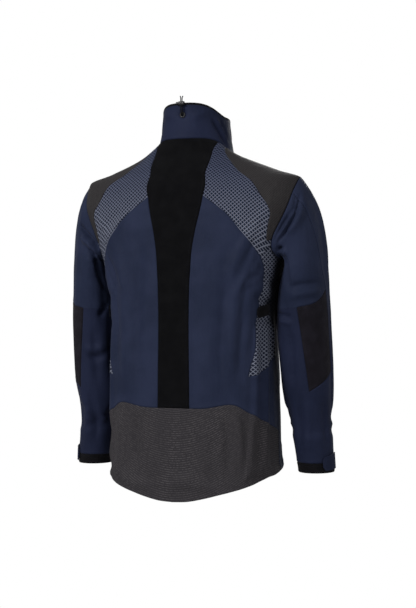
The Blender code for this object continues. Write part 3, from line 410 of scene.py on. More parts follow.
TORSO_FOLDS = [
    (RIGHT, 0.0120, -0.0026, (29, -0.235), (31, -0.340), (29, -0.445), (30, -0.540)),
    (RIGHT, 0.0140, 0.0022, (37, -0.260), (39, -0.350), (36, -0.450), (37, -0.530)),
    (RIGHT, 0.0110, -0.0024, (47, -0.320), (46, -0.425), (42, -0.520)),
    (LEFT, 0.0120, -0.0026, (17, -0.190), (21, -0.300), (23, -0.405), (21, -0.530)),
    (LEFT, 0.0150, 0.0024, (30, -0.230), (33, -0.330), (34, -0.440), (31, -0.540)),
    (LEFT, 0.0110, -0.0022, (42, -0.260), (46, -0.360), (43, -0.480)),
    (LEFT, 0.0110, -0.0030, (20, -0.575), (23, -0.636), (24, -0.700)),
    (LEFT, 0.0120, 0.0030, (36, -0.570), (38, -0.640), (38, -0.720)),
    (LEFT, 0.0100, -0.0028, (52, -0.590), (54, -0.640), (52, -0.700)),
    (RIGHT, 0.0100, 0.0032, (39, -0.565), (42, -0.630), (44, -0.700)),
    (RIGHT, 0.0090, -0.0026, (32, -0.580), (33, -0.650), (34, -0.720)),
    (RIGHT, 0.0110, 0.0024, (18, -0.575), (18.5, -0.651), (18, -0.730)),
    (RIGHT, 0.0100, -0.0026, (58, -0.590), (60, -0.640), (58, -0.700)),
    (BOTH, 0.0110, -0.0016, (24, -0.150), (34, -0.180), (46, -0.205)),
    (BOTH, 0.0090, -0.0030, (56, -0.330), (70, -0.345), (86, -0.350)),
    (BOTH, 0.0090, -0.0024, (58, -0.392), (72, -0.388), (88, -0.392)),
    (BOTH, 0.0130, -0.0036, (112, -0.270), (126, -0.300), (136, -0.340)),
    (BOTH, 0.0120, 0.0030, (120, -0.330), (132, -0.372), (140, -0.400)),
    (BOTH, 0.0120, -0.0030, (112, -0.520), (118, -0.590), (116, -0.660)),
    (BOTH, 0.0120, -0.0022, (160, -0.160), (161, -0.300), (158, -0.460), (160, -0.620)),
]
COLLAR_FOLDS = [
    (RIGHT, 0.0040, -0.0034, (48, 0.66), (56, 0.50), (66, 0.30), (75, 0.10)),
    (RIGHT, 0.0050, 0.0024, (54, 0.74), (63, 0.58), (72, 0.38), (80, 0.18)),
    (RIGHT, 0.0045, -0.0026, (66, 0.80), (75, 0.58), (81, 0.34)),
    (LEFT, 0.0060, -0.0020, (44, 0.70), (56, 0.44), (70, 0.16)),
    (BOTH, 0.0060, -0.0022, (100, 0.72), (112, 0.44), (120, 0.20)),
    (BOTH, 0.0080, 0.0012, (12, 0.62), (30, 0.70), (44, 0.78)),
]
FOLDS = {
    surface.name: [Fold(surface, *row) for row in rows]
    for surface, rows in ((SLEEVE, SLEEVE_FOLDS), (TORSO, TORSO_FOLDS), (COLLAR, COLLAR_FOLDS))
}


def folds_at(surface, places, hand):
    """Height of all folds at places on one half of the jacket, or on both if x goes below 0."""
    lift = np.zeros(len(places))
    for side in BOTH:
        here = places[:, 0] * side >= 0
        if here.any():
            half = places[here] * (side, 1, 1)
            lift[here] = sum(f.lift(half) for f in FOLDS[surface.name] if hand * side in f.hands)
    return lift


# ---------------------------------------------------------------- simulated crumple
SIM_FRAMES = 24
SIM_GROWTH = 0.045  # the cloth is this much larger than the surface that holds it
SLEEVE_MOST = 0.0042  # how far a crumple may lift the cloth
TORSO_MOST = 0.0032
RIGHT_TURN = 100  # degrees between the crumples of the two sleeves
CRUMPLE = {}


class Crumple:
    """How far a simulated cloth, held where it is sewn down, buckles off a surface."""

    def __init__(self, surface, low, high, counts, held, most, closed):
        self.surface, self.counts, self.closed = surface, counts, closed
        self.low, self.high = np.array(low), np.array(high)
        wide, tall = counts
        us = np.linspace(low[0], high[0], wide, endpoint=not closed)
        vs = np.linspace(low[1], high[1], tall)
        uv = np.array(np.meshgrid(us, vs)).reshape(2, -1).T
        start, normal = surface.at(uv), surface.normals(uv)
        seed = 0.0006 * np.sin(uv[:, 0] * 0.23 + np.sin(uv[:, 1] * 31))
        seed = seed * np.cos(uv[:, 1] * 57 + uv[:, 0] * 0.071)
        loose = 1 - held(uv, start)
        start = start + normal * (seed * loose)[:, None]
        moved = self.settle(start, loose) - start
        lift = np.sum(moved * normal, axis=1) * loose
        field = most * np.tanh(lift / most).reshape(tall, wide)
        self.field = self.blurred(self.blurred(field))

    def blurred(self, field):
        """Each number moved halfway to the mean of its neighbours."""
        before, after = (np.roll(field, k, axis=1) if self.closed else field for k in (1, -1))
        below, above = np.vstack([field[:1], field[:-1]]), np.vstack([field[1:], field[-1:]])
        return (4 * field + before + after + below + above) / 8

    def settle(self, start, loose):
        wide, tall = self.counts
        across = wide if self.closed else wide - 1
        faces = []
        for row in range(0, (tall - 1) * wide, wide):
            for i in range(across):
                after = (i + 1) % wide
                faces.append((row + i, row + after, row + wide + after, row + wide + i))
        ob = make_mesh(f"held_cloth_{self.surface.name}", start, faces, [])
        pins = ob.vertex_groups.new(name="sewn")
        for i, share in enumerate(1 - loose):
            if share > 0.02:
                pins.add([i], float(share), "REPLACE")
        cloth_sim = ob.modifiers.new("cloth", "CLOTH")
        fabric = cloth_sim.settings
        fabric.quality = 5
        fabric.mass = 0.25
        fabric.air_damping = 3
        fabric.tension_stiffness = fabric.compression_stiffness = 20
        fabric.shear_stiffness = 6
        fabric.bending_stiffness = 1.2
        fabric.shrink_min = -SIM_GROWTH
        fabric.vertex_group_mass = "sewn"
        fabric.pin_stiffness = 3
        fabric.effector_weights.gravity = 0.35
        cloth_sim.collision_settings.use_collision = False
        cloth_sim.point_cache.frame_start = 1
        cloth_sim.point_cache.frame_end = SIM_FRAMES
        scene = bpy.context.scene
        for number in range(1, SIM_FRAMES + 1):
            scene.frame_set(number)
        settled = ob.evaluated_get(bpy.context.evaluated_depsgraph_get()).data
        out = np.zeros(len(start) * 3)
        settled.vertices.foreach_get("co", out)
        bpy.data.objects.remove(ob)
        scene.frame_set(1)
        return out.reshape(-1, 3)

    def at(self, uv):
        wide, tall = self.counts
        share = (uv - self.low) / (self.high - self.low)
        x = share[:, 0] % 1 * wide if self.closed else np.clip(share[:, 0], 0, 1) * (wide - 1)
        y = np.clip(share[:, 1], 0, 1) * (tall - 1)
        i, j = np.floor(x).astype(int), np.minimum(np.floor(y).astype(int), tall - 2)
        fx, fy = x - i, y - j
        i, after = i % wide, (i + 1) % wide if self.closed else np.minimum(i + 1, wide - 1)
        f = self.field
        below = f[j, i] * (1 - fx) + f[j, after] * fx
        above = f[j + 1, i] * (1 - fx) + f[j + 1, after] * fx
        return below * (1 - fy) + above * fy


def smooth_in(value, low, high):
    t = np.clip((value - low) / (high - low), 0, 1)
    return t * t * (3 - 2 * t)


def sleeve_held(uv, _places):
    """Held at the armhole and at the cuff."""
    along = uv[:, 1]
    cuff = smooth_in(along, CUFF_TOP - 0.05, CUFF_TOP - 0.012)
    return np.maximum(1 - smooth_in(along, 0.012, 0.060), cuff)


def torso_held(uv, places):
    """Held at the neck, the armholes, the zips, the waist tabs and the hem."""
    theta, level = np.abs(uv[:, 0]), uv[:, 1]
    seams = TORSO.at(armhole_run(90, 90 + TURN))
    sewn = [
        smooth_in(level, -0.14, -0.07),
        1 - smooth_in(level, -0.755, -0.730),
        smooth_in(theta, 156, 164),
        *(1 - smooth_in(nearest(places * (side, 1, 1), seams), 0.016, 0.050) for side in BOTH),
        (1 - smooth_in(np.abs(theta - 68), 12, 24)) * (1 - smooth_in(np.abs(level - WAIST), 0.024, 0.050)),
        (1 - smooth_in(np.abs(theta - POCKET_THETA), 6, 12)) * smooth_in(level, -0.63, -0.59)
        * (1 - smooth_in(level, -0.41, -0.38)),
    ]  # fmt: skip
    return np.max(sewn, axis=0)


def make_crumple():
    end = along_sleeve(CUFF_END)
    low, high = (INNER_SEAM, 0.0), (INNER_SEAM + TURN, end)
    CRUMPLE["sleeve"] = Crumple(SLEEVE, low, high, (72, 128), sleeve_held, SLEEVE_MOST, True)
    low, high = (-172, -0.770), (172, -0.040)
    CRUMPLE["torso"] = Crumple(TORSO, low, high, (220, 130), torso_held, TORSO_MOST, False)


def crumple_at(surface, uv, hand):
    """The simulated buckles; the right half uses the left one's sleeve, turned a little."""
    if surface.name not in CRUMPLE:
        return np.zeros(len(uv))
    if surface.name == "torso":
        return CRUMPLE["torso"].at(uv * (hand, 1))
    return CRUMPLE["sleeve"].at(uv + (0 if hand > 0 else RIGHT_TURN, 0))


def loose_at(surface, uv, places, hand):
    """How far folds and crumples lift the cloth off its surface."""
    return folds_at(surface, places, hand) + crumple_at(surface, uv, hand)


# ---------------------------------------------------------------- cloth lengths, for the weave
def flat_lengths(surface, uv):
    """Distance round and along the cloth, in metres, so that a weave has one size everywhere."""
    lengths = []
    for way in ((1, 0), (0, 1)):
        kept = 1 - np.array(way)
        spots = [surface.at(uv * (kept + np.array(way) * t)) for t in np.linspace(0, 1, 40)]
        lengths.append(sum(np.linalg.norm(b - a, axis=1) for a, b in zip(spots, spots[1:])))
    return np.column_stack([lengths[0] * np.sign(uv[:, 0]), -lengths[1]])


def back_lengths(surface, uv):
    """The same for the yokes, where the cloth turns from the back up to the shoulder."""
    places = surface.at(uv)
    return np.column_stack([places[:, 0], places[:, 2] + 0.55 * (0.120 - places[:, 1])])


def side_lengths(surface, uv):
    """The same for the side panels, with the print laid level."""
    places = surface.at(uv)
    return np.column_stack([places[:, 0] + 0.36 * (0.120 - places[:, 1]), places[:, 2]])


# ---------------------------------------------------------------- panels
# How far rings of points lie inside a panel's edge, where seams and stitches shape it
EDGE_RINGS = (0.0010, 0.0026, 0.0046, 0.0062, 0.0080)
SEAM_DIP = 0.0008
SEAM_SWELL = 0.0005
STITCH_LINE = 0.0056
STITCH = 0.0028  # length of a stitch
STITCH_PITCH = 0.0038
THREAD_RISE = 0.0001  # of a stitch's middle above its ends
THREAD_WIDE, THREAD_TALL = 0.00030, 0.00026
UNSEWN_REACH = 0.0025  # an edge this near a run that isn't sewn makes no seam valley


def seam_profile(distance):
    """A valley at the seam, a swollen allowance beside it, and a groove under the topstitching."""
    dip = -SEAM_DIP * np.exp(-((distance / 0.0014) ** 2))
    swell = SEAM_SWELL * np.clip(distance / 0.0012, 0, 1) * np.clip((0.0082 - distance) / 0.002, 0, 1)
    groove = -0.0005 * np.exp(-(((distance - STITCH_LINE) / 0.0009) ** 2))
    return dip + swell + groove


def no_profile(distance):
    return np.zeros(len(distance))


def nearest(places, targets):
    tree = kdtree.KDTree(len(targets))
    for i, p in enumerate(targets):
        tree.insert(p, i)
    tree.balance()
    return np.array([tree.find(p)[2] for p in places])


def filled(surface, outline, pitch, hole=None, rings=EDGE_RINGS):
    """Points and triangles that fill an outline on a surface, finer near its edges."""
    scale = surface.scale
    flat = outline * scale
    dense = surface.at(np.vstack([outline, (outline + np.roll(outline, -1, axis=0)) / 2]))
    edges = [flat]
    if hole is not None:
        edges.append(hole * scale)
        dense = np.vstack([dense, surface.at(hole)])
    extra = []
    for k, far in enumerate(rings):
        ring = inset(surface, outline, far)
        clear = nearest(surface.at(ring), dense) > far * 0.8
        extra.append((ring * scale)[clear & inside(ring * scale, flat)])
    low, high = flat.min(axis=0), flat.max(axis=0)
    counts = np.maximum(1, np.ceil((high - low) / pitch)).astype(int)
    axes = [np.linspace(low[k], high[k], counts[k] + 1) for k in (0, 1)]
    grid = np.array(np.meshgrid(*axes)).reshape(2, -1).T
    grid = grid[inside(grid, flat)]
    reach = rings[-1] + pitch * 0.55
    grid = grid[nearest(surface.at(grid / scale), dense) > reach]
    if hole is not None:
        grid = grid[~inside(grid, hole * scale)]
        extra = [e[~inside(e, hole * scale)] for e in extra]
    points = np.vstack([*edges, *extra, grid])
    loops, start = [], 0
    for edge in edges:
        loops += [(start + i, start + (i + 1) % len(edge)) for i in range(len(edge))]
        start += len(edge)
    verts, _, faces, *_ = delaunay_2d_cdt([Vector(p) for p in points], loops, [], 0, 1e-8)
    verts = np.array([tuple(p) for p in verts])
    faces = np.array([f for f in faces if len(f) == 3])
    middle = verts[faces].mean(axis=1)
    keep = inside(middle, flat)
    if hole is not None:
        keep &= ~inside(middle, hole * scale)
    return verts / scale, faces[keep], dense


def stitches(surface, outline, distance, hand, height, folds, edge):
    """Small beads of thread along a line inside the sewn edge, as points and faces."""
    line = inset(surface, outline, distance)
    line = np.vstack([line, line[:1]])
    places = surface.at(line)
    far = np.concatenate([[0], np.cumsum(np.linalg.norm(np.diff(places, axis=0), axis=1))])
    starts = np.arange(0, far[-1] - STITCH, STITCH_PITCH)
    points, faces = [], []
    if not len(starts):
        return points, faces
    ends = [np.column_stack([np.interp(starts + k, far, line[:, j]) for j in (0, 1)]) for k in (0, STITCH)]
    beside = nearest(surface.at((ends[0] + ends[1]) / 2), edge) < distance * 1.25
    ends = [e[beside] for e in ends]
    if not beside.any():
        return points, faces
    middle = (ends[0] + ends[1]) / 2
    normal = surface.normals(middle)
    base = [surface.at(e) for e in (*ends, middle)]
    rise = np.full(len(middle), height + THREAD_RISE)
    if folds:
        rise += loose_at(surface, middle, base[2], hand)
    tips = [base[k] + normal * (rise[:, None] - THREAD_RISE) for k in (0, 1)]
    centre = base[2] + normal * rise[:, None]
    along = unit(tips[1] - tips[0])
    across, up = np.cross(normal, along) * THREAD_WIDE, normal * THREAD_TALL
    ring = [centre + across, centre + up, centre - across, centre - up]
    beads = np.stack([tips[0], *ring, tips[1]], axis=1)
    beads[..., 0] *= hand
    flip = hand * surface.outward < 0
    for bead in beads:
        at = len(points)
        points.extend(bead)
        for i in range(4):
            j = (i + 1) % 4
            tri = [(at, at + 1 + i, at + 1 + j), (at + 5, at + 1 + j, at + 1 + i)]
            faces.extend([t[::-1] for t in tri] if flip else tri)
    return points, faces


def make_mesh(name, points, faces, finishes, kinds=None, uvs=None):
    mesh = bpy.data.meshes.new(name)
    mesh.from_pydata([tuple(p) for p in points], [], [tuple(int(i) for i in f) for f in faces])
    for finish in finishes:
        mesh.materials.append(finish)
    if kinds is not None:
        mesh.polygons.foreach_set("material_index", np.asarray(kinds, np.int32))
    mesh.polygons.foreach_set("use_smooth", np.ones(len(mesh.polygons), bool))
    if uvs is not None:
        layer = mesh.uv_layers.new(name="cloth")
        corners = np.zeros(len(mesh.loops), np.int32)
        mesh.loops.foreach_get("vertex_index", corners)
        layer.data.foreach_set("uv", np.asarray(uvs, np.float32)[corners].ravel())
    mesh.update()
    ob = bpy.data.objects.new(name, mesh)
    bpy.context.scene.collection.objects.link(ob)
    return ob


def cloth(
    name, finish, surface, outline, hand=1, height=0.0, thick=CLOTH, pitch=GRID, profile=seam_profile,
    rings=EDGE_RINGS, hole=None, inner="lining", sewn=STITCH_LINE, folds=True, unsewn=None,
    lengths=flat_lengths,
):  # fmt: skip
    """A piece of cloth with two faces and a rim, its seam valleys, its folds and its stitches.

    Along the unsewn run the cloth goes on smoothly into its neighbour."""
    uv, faces, edge = filled(surface, outline, pitch, hole, rings)
    places = surface.at(uv)
    normal = surface.normals(uv)
    if unsewn is not None:
        run = surface.at(smooth_run(unsewn, 4))
        edge = edge[nearest(edge, run) > UNSEWN_REACH]
    lift = height + profile(nearest(places, edge))
    if folds:
        lift = lift + loose_at(surface, uv, places, hand)
    outer = places + normal * lift[:, None]
    inner_side = outer - normal * thick
    for p in (outer, inner_side, normal):
        p[:, 0] *= hand
    a, b, c = (outer[faces[:, k]] for k in range(3))
    facing = np.sum(np.cross(b - a, c - a) * normal[faces[:, 0]], axis=1)
    faces[facing < 0] = faces[facing < 0][:, ::-1]
    count = len(outer)
    edges = np.vstack([faces[:, [0, 1]], faces[:, [1, 2]], faces[:, [2, 0]]])
    seen = {(int(i), int(j)) for i, j in edges}
    rim = [(j, i, count + i, count + j) for i, j in seen if (j, i) not in seen]
    every = [*map(tuple, faces), *map(tuple, faces[:, ::-1] + count), *sorted(rim)]
    groove = height + float(profile(np.array([sewn]))[0])
    beads, bead_faces = stitches(surface, outline, sewn, hand, groove, folds, edge)
    every += [tuple(i + 2 * count for i in f) for f in bead_faces]
    kinds = [0] * len(faces) + [1] * len(faces) + [0] * len(rim) + [2] * len(bead_faces)
    points = [*outer, *inner_side, *beads]
    flat = lengths(surface, uv)
    uvs = np.vstack([flat, flat, np.zeros((len(beads), 2))])
    finishes = [FINISH[finish], FINISH[inner], FINISH["thread"]]
    ob = make_mesh(name, points, every, finishes, kinds, uvs)
    return ob


# ---------------------------------------------------------------- materials
class Nodes:
    """Short names for making one material's nodes."""

    def __init__(self, name, rough=0.7, sheen=0.0, coat=0.0, gloss=0.05):
        self.mat = bpy.data.materials.new(name)
        self.mat.use_nodes = True
        self.tree = self.mat.node_tree
        self.shader = self.tree.nodes["Principled BSDF"]
        self.shader.inputs["Roughness"].default_value = rough
        self.shader.inputs["Sheen Weight"].default_value = sheen
        self.shader.inputs["Sheen Roughness"].default_value = 0.45
        self.shader.inputs["Coat Weight"].default_value = coat
        self.shader.inputs["Specular IOR Level"].default_value = gloss

    def add(self, kind, inputs=None, **settings):
        node = self.tree.nodes.new("ShaderNode" + kind)
        for key, value in settings.items():
            setattr(node, key, value)
        for key, value in (inputs or {}).items():
            if isinstance(value, bpy.types.NodeSocket):
                self.tree.links.new(value, node.inputs[key])
            else:
                node.inputs[key].default_value = value
        return node

    def math(self, operation, a, b=0.0):
        return self.add("Math", {0: a, 1: b}, operation=operation).outputs[0]

    def plus(self, a, b):
        return self.math("ADD", a, b)

    def times(self, a, b):
        return self.math("MULTIPLY", a, b)

    def parts(self, vector):
        return tuple(self.add("SeparateXYZ", {0: vector}).outputs)

    def scaled(self, vector, x, y, z):
        return self.add("VectorMath", {0: vector, 1: (x, y, z)}, operation="MULTIPLY").outputs[0]

    def cloth_uv(self):
        """Metres round and along the cloth, as one vector."""
        return self.add("UVMap", uv_map="cloth").outputs[0]

    def weave(self, pitch):
        """A plain weave, over and under, as a height from 0 to 1."""
        u, v, _ = self.parts(self.cloth_uv())
        return self.times(self.half_wave(u, pitch), self.half_wave(v, pitch))

    def place(self):
        return self.add("TexCoord").outputs["Object"]

    def noise(self, vector, scale, detail=3.0, rough=0.5):
        inputs = {"Vector": vector, "Scale": scale, "Detail": detail, "Roughness": rough}
        return self.add("TexNoise", inputs).outputs["Fac"]

    def half_wave(self, number, pitch):
        sine = self.math("SINE", self.times(number, 2 * pi / pitch))
        return self.plus(self.times(sine, 0.5), 0.5)

    def mix(self, share, a, b):
        return self.add("Mix", {0: share, 6: a, 7: b}, data_type="RGBA").outputs[2]

    def ramp(self, number, low, high):
        inputs = {"Value": number, "From Min": low, "From Max": high}
        return self.add("MapRange", inputs, interpolation_type="SMOOTHSTEP").outputs[0]

    def colour(self, socket):
        self.tree.links.new(socket, self.shader.inputs["Base Color"])

    def rough(self, socket):
        self.tree.links.new(socket, self.shader.inputs["Roughness"])

    def bump(self, height, distance, strength=1.0):
        bump = self.add("Bump", {"Height": height, "Distance": distance, "Strength": strength})
        self.tree.links.new(bump.outputs[0], self.shader.inputs["Normal"])


def rgb(r, g, b):
    """Display colour, 0 to 255, as the linear colour that a shader takes."""
    linear = [((v / 255 + 0.055) / 1.055) ** 2.4 if v > 10 else v / 255 / 12.92 for v in (r, g, b)]
    return (*linear, 1.0)


def softshell(name, dark, light, worn):
    """A taut laminated shell: fine weave, soft broad wrinkles and a slight change of tone."""
    n = Nodes(name, rough=0.62, sheen=0.02)
    place = n.place()
    broad = n.noise(place, 14.0, 2.0)
    streaks = n.noise(n.scaled(place, 46.0, 46.0, 7.0), 1.0, 2.0)
    crumple = n.noise(place, 60.0, 4.0, 0.6)
    fine = n.noise(place, 900.0, 2.0)
    weave = n.weave(WEAVE)
    tone = n.mix(n.ramp(broad, 0.3, 0.7), dark, light)
    speck = n.times(n.ramp(fine, 0.45, 0.8), 0.35)
    n.colour(n.mix(speck, tone, worn))
    n.rough(n.plus(n.times(n.ramp(crumple, 0.3, 0.7), 0.10), 0.56))
    height = n.plus(n.times(crumple, 0.5), n.times(weave, 0.05))
    n.bump(n.plus(height, n.times(streaks, 1.6)), 0.0022, 0.55)
    return n.mat


def stretch_knit(name, dark, light):
    """Fine vertical wales of a stretch jersey."""
    n = Nodes(name, rough=0.78, sheen=0.015)
    u, v, _ = n.parts(n.cloth_uv())
    wales = n.half_wave(u, 0.0014)
    courses = n.half_wave(v, 0.0011)
    soft = n.noise(n.place(), 45.0, 3.0)
    height = n.plus(n.times(wales, courses), n.times(soft, 1.4))
    n.colour(n.mix(n.ramp(n.plus(n.times(wales, 0.3), soft), 0.4, 1.0), dark, light))
    n.bump(height, 0.0006, 0.6)
    return n.mat


def lattice_print_and_painted_shade(name, ground, line):
    """A light diamond lattice printed on the shell: thicker lines towards the yoke's lower edge, and
    a painted shade that darkens it to black towards the underarm, where the sleeve shades the side."""
    n = Nodes(name, rough=0.60, sheen=0.015)
    u, v, _ = n.parts(n.cloth_uv())
    one = n.half_wave(n.plus(u, v), PRINT_PITCH)
    two = n.half_wave(n.math("SUBTRACT", u, v), PRINT_PITCH)
    net = n.math("MAXIMUM", one, two)
    _, y, z = n.parts(n.place())
    low = n.ramp(z, -0.03, -0.21)
    edge = n.math("SUBTRACT", 0.84, n.times(low, 0.08))
    lines = n.ramp(n.math("SUBTRACT", net, edge), 0.0, 0.14)
    faint = (line[0] * 0.50, line[1] * 0.54, line[2] * 0.68, 1.0)
    printed = n.mix(lines, ground, n.mix(low, faint, line))
    # painted shade: the side panel darkens to rgb(10, 11, 16) near the underarm, standing in for the
    # sleeve's shadow
    below = n.times(n.ramp(z, -0.36, -0.42), 0.050)
    side = n.ramp(n.plus(y, below), 0.048, 0.018)
    side = n.times(side, n.ramp(z, -0.19, -0.24))
    n.colour(n.mix(n.times(side, 0.93), printed, rgb(10, 11, 16)))
    weave = n.weave(WEAVE)
    height = n.plus(n.times(n.noise(n.place(), 60.0, 4.0), 1.0), n.times(lines, 0.25))
    height = n.plus(height, n.times(weave, 0.1))
    n.bump(height, 0.0012, 0.45)
    return n.mat


def ripstop(name, dark, light):
    """Grey-brown ripstop: a fine twill with a slightly raised grid."""
    n = Nodes(name, rough=0.68, sheen=0.015)
    u, v, _ = n.parts(n.cloth_uv())
    twill = n.half_wave(n.plus(u, n.times(v, 0.7)), 0.0036)
    grid = n.math("MAXIMUM", n.half_wave(u, 0.0052), n.half_wave(v, 0.0052))
    grain = n.noise(n.place(), 420.0, 3.0)
    share = n.plus(n.times(twill, 0.55), n.times(grain, 0.6))
    n.colour(n.mix(n.ramp(share, 0.25, 0.95), dark, light))
    height = n.plus(n.times(n.ramp(grid, 0.85, 1.0), 0.4), n.times(twill, 0.3))
    n.bump(n.plus(height, n.noise(n.place(), 50.0, 3.0)), 0.0010, 0.5)
    return n.mat


def cross_ribs(name, dark, light):
    """Horizontal ribs, broken into short dashes, with faint broad bands."""
    n = Nodes(name, rough=0.75, sheen=0.015)
    uv = n.cloth_uv()
    v = n.parts(uv)[1]
    wander = n.noise(n.place(), 9.0, 2.0)
    level = n.plus(v, n.times(wander, 0.003))
    ribs = n.half_wave(level, 0.0047)
    dashes = n.noise(n.scaled(uv, 260.0, 420.0, 1.0), 1.0, 1.0)
    bands = n.noise(n.scaled(uv, 26.0, 5.0, 1.0), 1.0, 2.0)
    share = n.times(n.ramp(ribs, 0.35, 0.95), n.ramp(dashes, 0.36, 0.62))
    share = n.times(share, n.plus(0.45, n.times(n.ramp(bands, 0.25, 0.75), 0.55)))
    n.colour(n.mix(share, dark, light))
    height = n.plus(n.times(ribs, 0.5), n.noise(n.place(), 45.0, 3.0))
    n.bump(height, 0.0010, 0.55)
    return n.mat


def brushed(name, dark, light, scale=700.0, rough=0.9, depth=0.0008):
    """Tricot lining, hook tape or thread: a fuzzy grain."""
    n = Nodes(name, rough=rough, sheen=0.03)
    grain = n.noise(n.place(), scale, 4.0, 0.7)
    n.colour(n.mix(n.ramp(grain, 0.3, 0.7), dark, light))
    n.bump(grain, depth, 0.6)
    return n.mat


def hooks(name, dark, light):
    n = Nodes(name, rough=0.85, sheen=0.02)
    inputs = {"Vector": n.place(), "Scale": 520.0}
    cells = n.add("TexVoronoi", inputs).outputs["Distance"]
    n.colour(n.mix(n.ramp(cells, 0.1, 0.6), light, dark))
    n.bump(n.math("SUBTRACT", 1.0, cells), 0.0012, 0.8)
    return n.mat


def moulded(name, dark, light, rough=0.38):
    n = Nodes(name, rough=rough, coat=0.1, gloss=0.35)
    grain = n.noise(n.place(), 600.0, 3.0)
    scuff = n.noise(n.place(), 120.0, 4.0, 0.7)
    n.colour(n.mix(n.ramp(scuff, 0.45, 0.75), dark, light))
    n.rough(n.ramp(scuff, -1.4, 2.2))
    n.bump(grain, 0.0002, 0.4)
    return n.mat


def webbing(name, dark, light):
    """Narrow tape with a herringbone weave."""
    n = Nodes(name, rough=0.72, sheen=0.03)
    x, _, z = n.parts(n.place())
    lines = n.half_wave(n.plus(n.math("PINGPONG", x, 0.0016), z), 0.0012)
    n.colour(n.mix(n.times(lines, 0.6), dark, light))
    n.bump(lines, 0.0003, 0.8)
    return n.mat


def braid(name, dark, light):
    n = Nodes(name, rough=0.7, sheen=0.03)
    x, _, z = n.parts(n.place())
    one = n.half_wave(n.plus(x, z), 0.0011)
    two = n.half_wave(n.math("SUBTRACT", x, z), 0.0011)
    plait = n.math("MAXIMUM", one, two)
    n.colour(n.mix(n.times(plait, 0.7), dark, light))
    n.bump(plait, 0.0003, 0.9)
    return n.mat


PRINT_PITCH = 0.0083
WEAVE = 0.0009
FINISH = {
    "navy": softshell("navy_softshell", rgb(30, 36, 55), rgb(37, 43, 64), rgb(47, 54, 76)),
    # painted shade: a darker copy of the same navy shell for the lower sleeves, the collar and the cuff
    # tabs, which fall darker in the light
    "navy_painted_shade": softshell("navy_softshell_painted_shade", rgb(27, 32, 51), rgb(32, 37, 58), rgb(40, 46, 68)),
    "stretch": stretch_knit("black_stretch", rgb(7, 7, 9), rgb(14, 14, 16)),
    "print": lattice_print_and_painted_shade("lattice_print_and_painted_shade", rgb(22, 26, 41), rgb(106, 110, 124)),
    "ripstop": ripstop("ripstop_grey", rgb(34, 32, 33), rgb(58, 56, 57)),
    "ribbed": cross_ribs("ribbed_grey", rgb(49, 47, 50), rgb(77, 74, 76)),
    "patch": stretch_knit("patch_stretch", rgb(23, 21, 26), rgb(34, 32, 39)),
    "band": stretch_knit("cuff_stretch", rgb(13, 13, 15), rgb(22, 21, 24)),
    "lining": brushed("lining_tricot", rgb(26, 28, 36), rgb(38, 41, 50)),
    "mesh": brushed("pocket_tricot", rgb(20, 21, 25), rgb(34, 35, 40), 500.0),
    "hook": hooks("hook_tape", rgb(12, 12, 14), rgb(40, 40, 44)),
    "thread": brushed("thread_dark", rgb(30, 34, 48), rgb(48, 53, 72), 2500.0, 0.6, 0.0001),
    "tape": webbing("zip_webbing", rgb(17, 17, 20), rgb(38, 38, 44)),
    "moulded": moulded("moulded_black", rgb(15, 15, 17), rgb(30, 30, 33)),
    "puller": moulded("puller_black", rgb(22, 22, 24), rgb(44, 44, 48), 0.3),
    "cord": braid("drawcord_braid", rgb(10, 10, 12), rgb(26, 26, 29)),
}


# ---------------------------------------------------------------- torso
BACK_STRIP = [
    (56, 0.0), (37, -0.020), (26, -0.045), (17.5, -0.080), (13, -0.126),
    (11, -0.165), (9.6, -0.217), (9.1, -0.280), (8.8, -0.342), (9.0, -0.567),
]  # fmt: skip
YOKE_TOP = [
    (72, 0.0), (51, -0.022), (43, -0.050), (40.5, -0.077), (40, -0.104),
    (42.5, -0.131), (46, -0.152), (51, -0.176),
]  # fmt: skip
YOKE_LOW = [
    (13, -0.126), (22.5, -0.162), (31, -0.193), (35.6, -0.207), (44.4, -0.228), (56, -0.252),
]  # fmt: skip
SIDE_BACK = [
    (56, -0.252), (62.5, -0.275), (65, -0.309), (64.5, -0.337), (61.5, -0.375),
    (59, -0.443), (51.5, -0.500),
]  # fmt: skip
SIDE_LOW = [(51.5, -0.500), (63, -0.495), (78, -0.478), (SIDE_SEAM, -0.452)]
TAIL_TOP = [
    (9.0, -0.567), (18.7, -0.566), (36, -0.558), (50.9, -0.575), (70, -0.595), (SIDE_SEAM, -0.620),
]  # fmt: skip
TAIL_HEM = [
    (0, HEM_BACK), (8, HEM_BACK + 0.002), (17, HEM_BACK + 0.009), (28, HEM_BACK + 0.019),
    (42, HEM_BACK + 0.029), (62, HEM_BACK + 0.042), (80, HEM_SIDE - 0.007), (SIDE_SEAM, HEM_SIDE),
]  # fmt: skip
SHOULDER_FRONT = [(95, 0.0), (100, -0.050), (106, -0.100)]


def torso_edge(level):
    """Degrees round to the edge of the front zip at a level."""
    low, high = 150.0, 180.0
    for _ in range(30):
        middle = (low + high) / 2
        if torso(np.array([middle]), np.array([level]))[0, 0] > ZIP_EDGE:
            low = middle
        else:
            high = middle
    return low


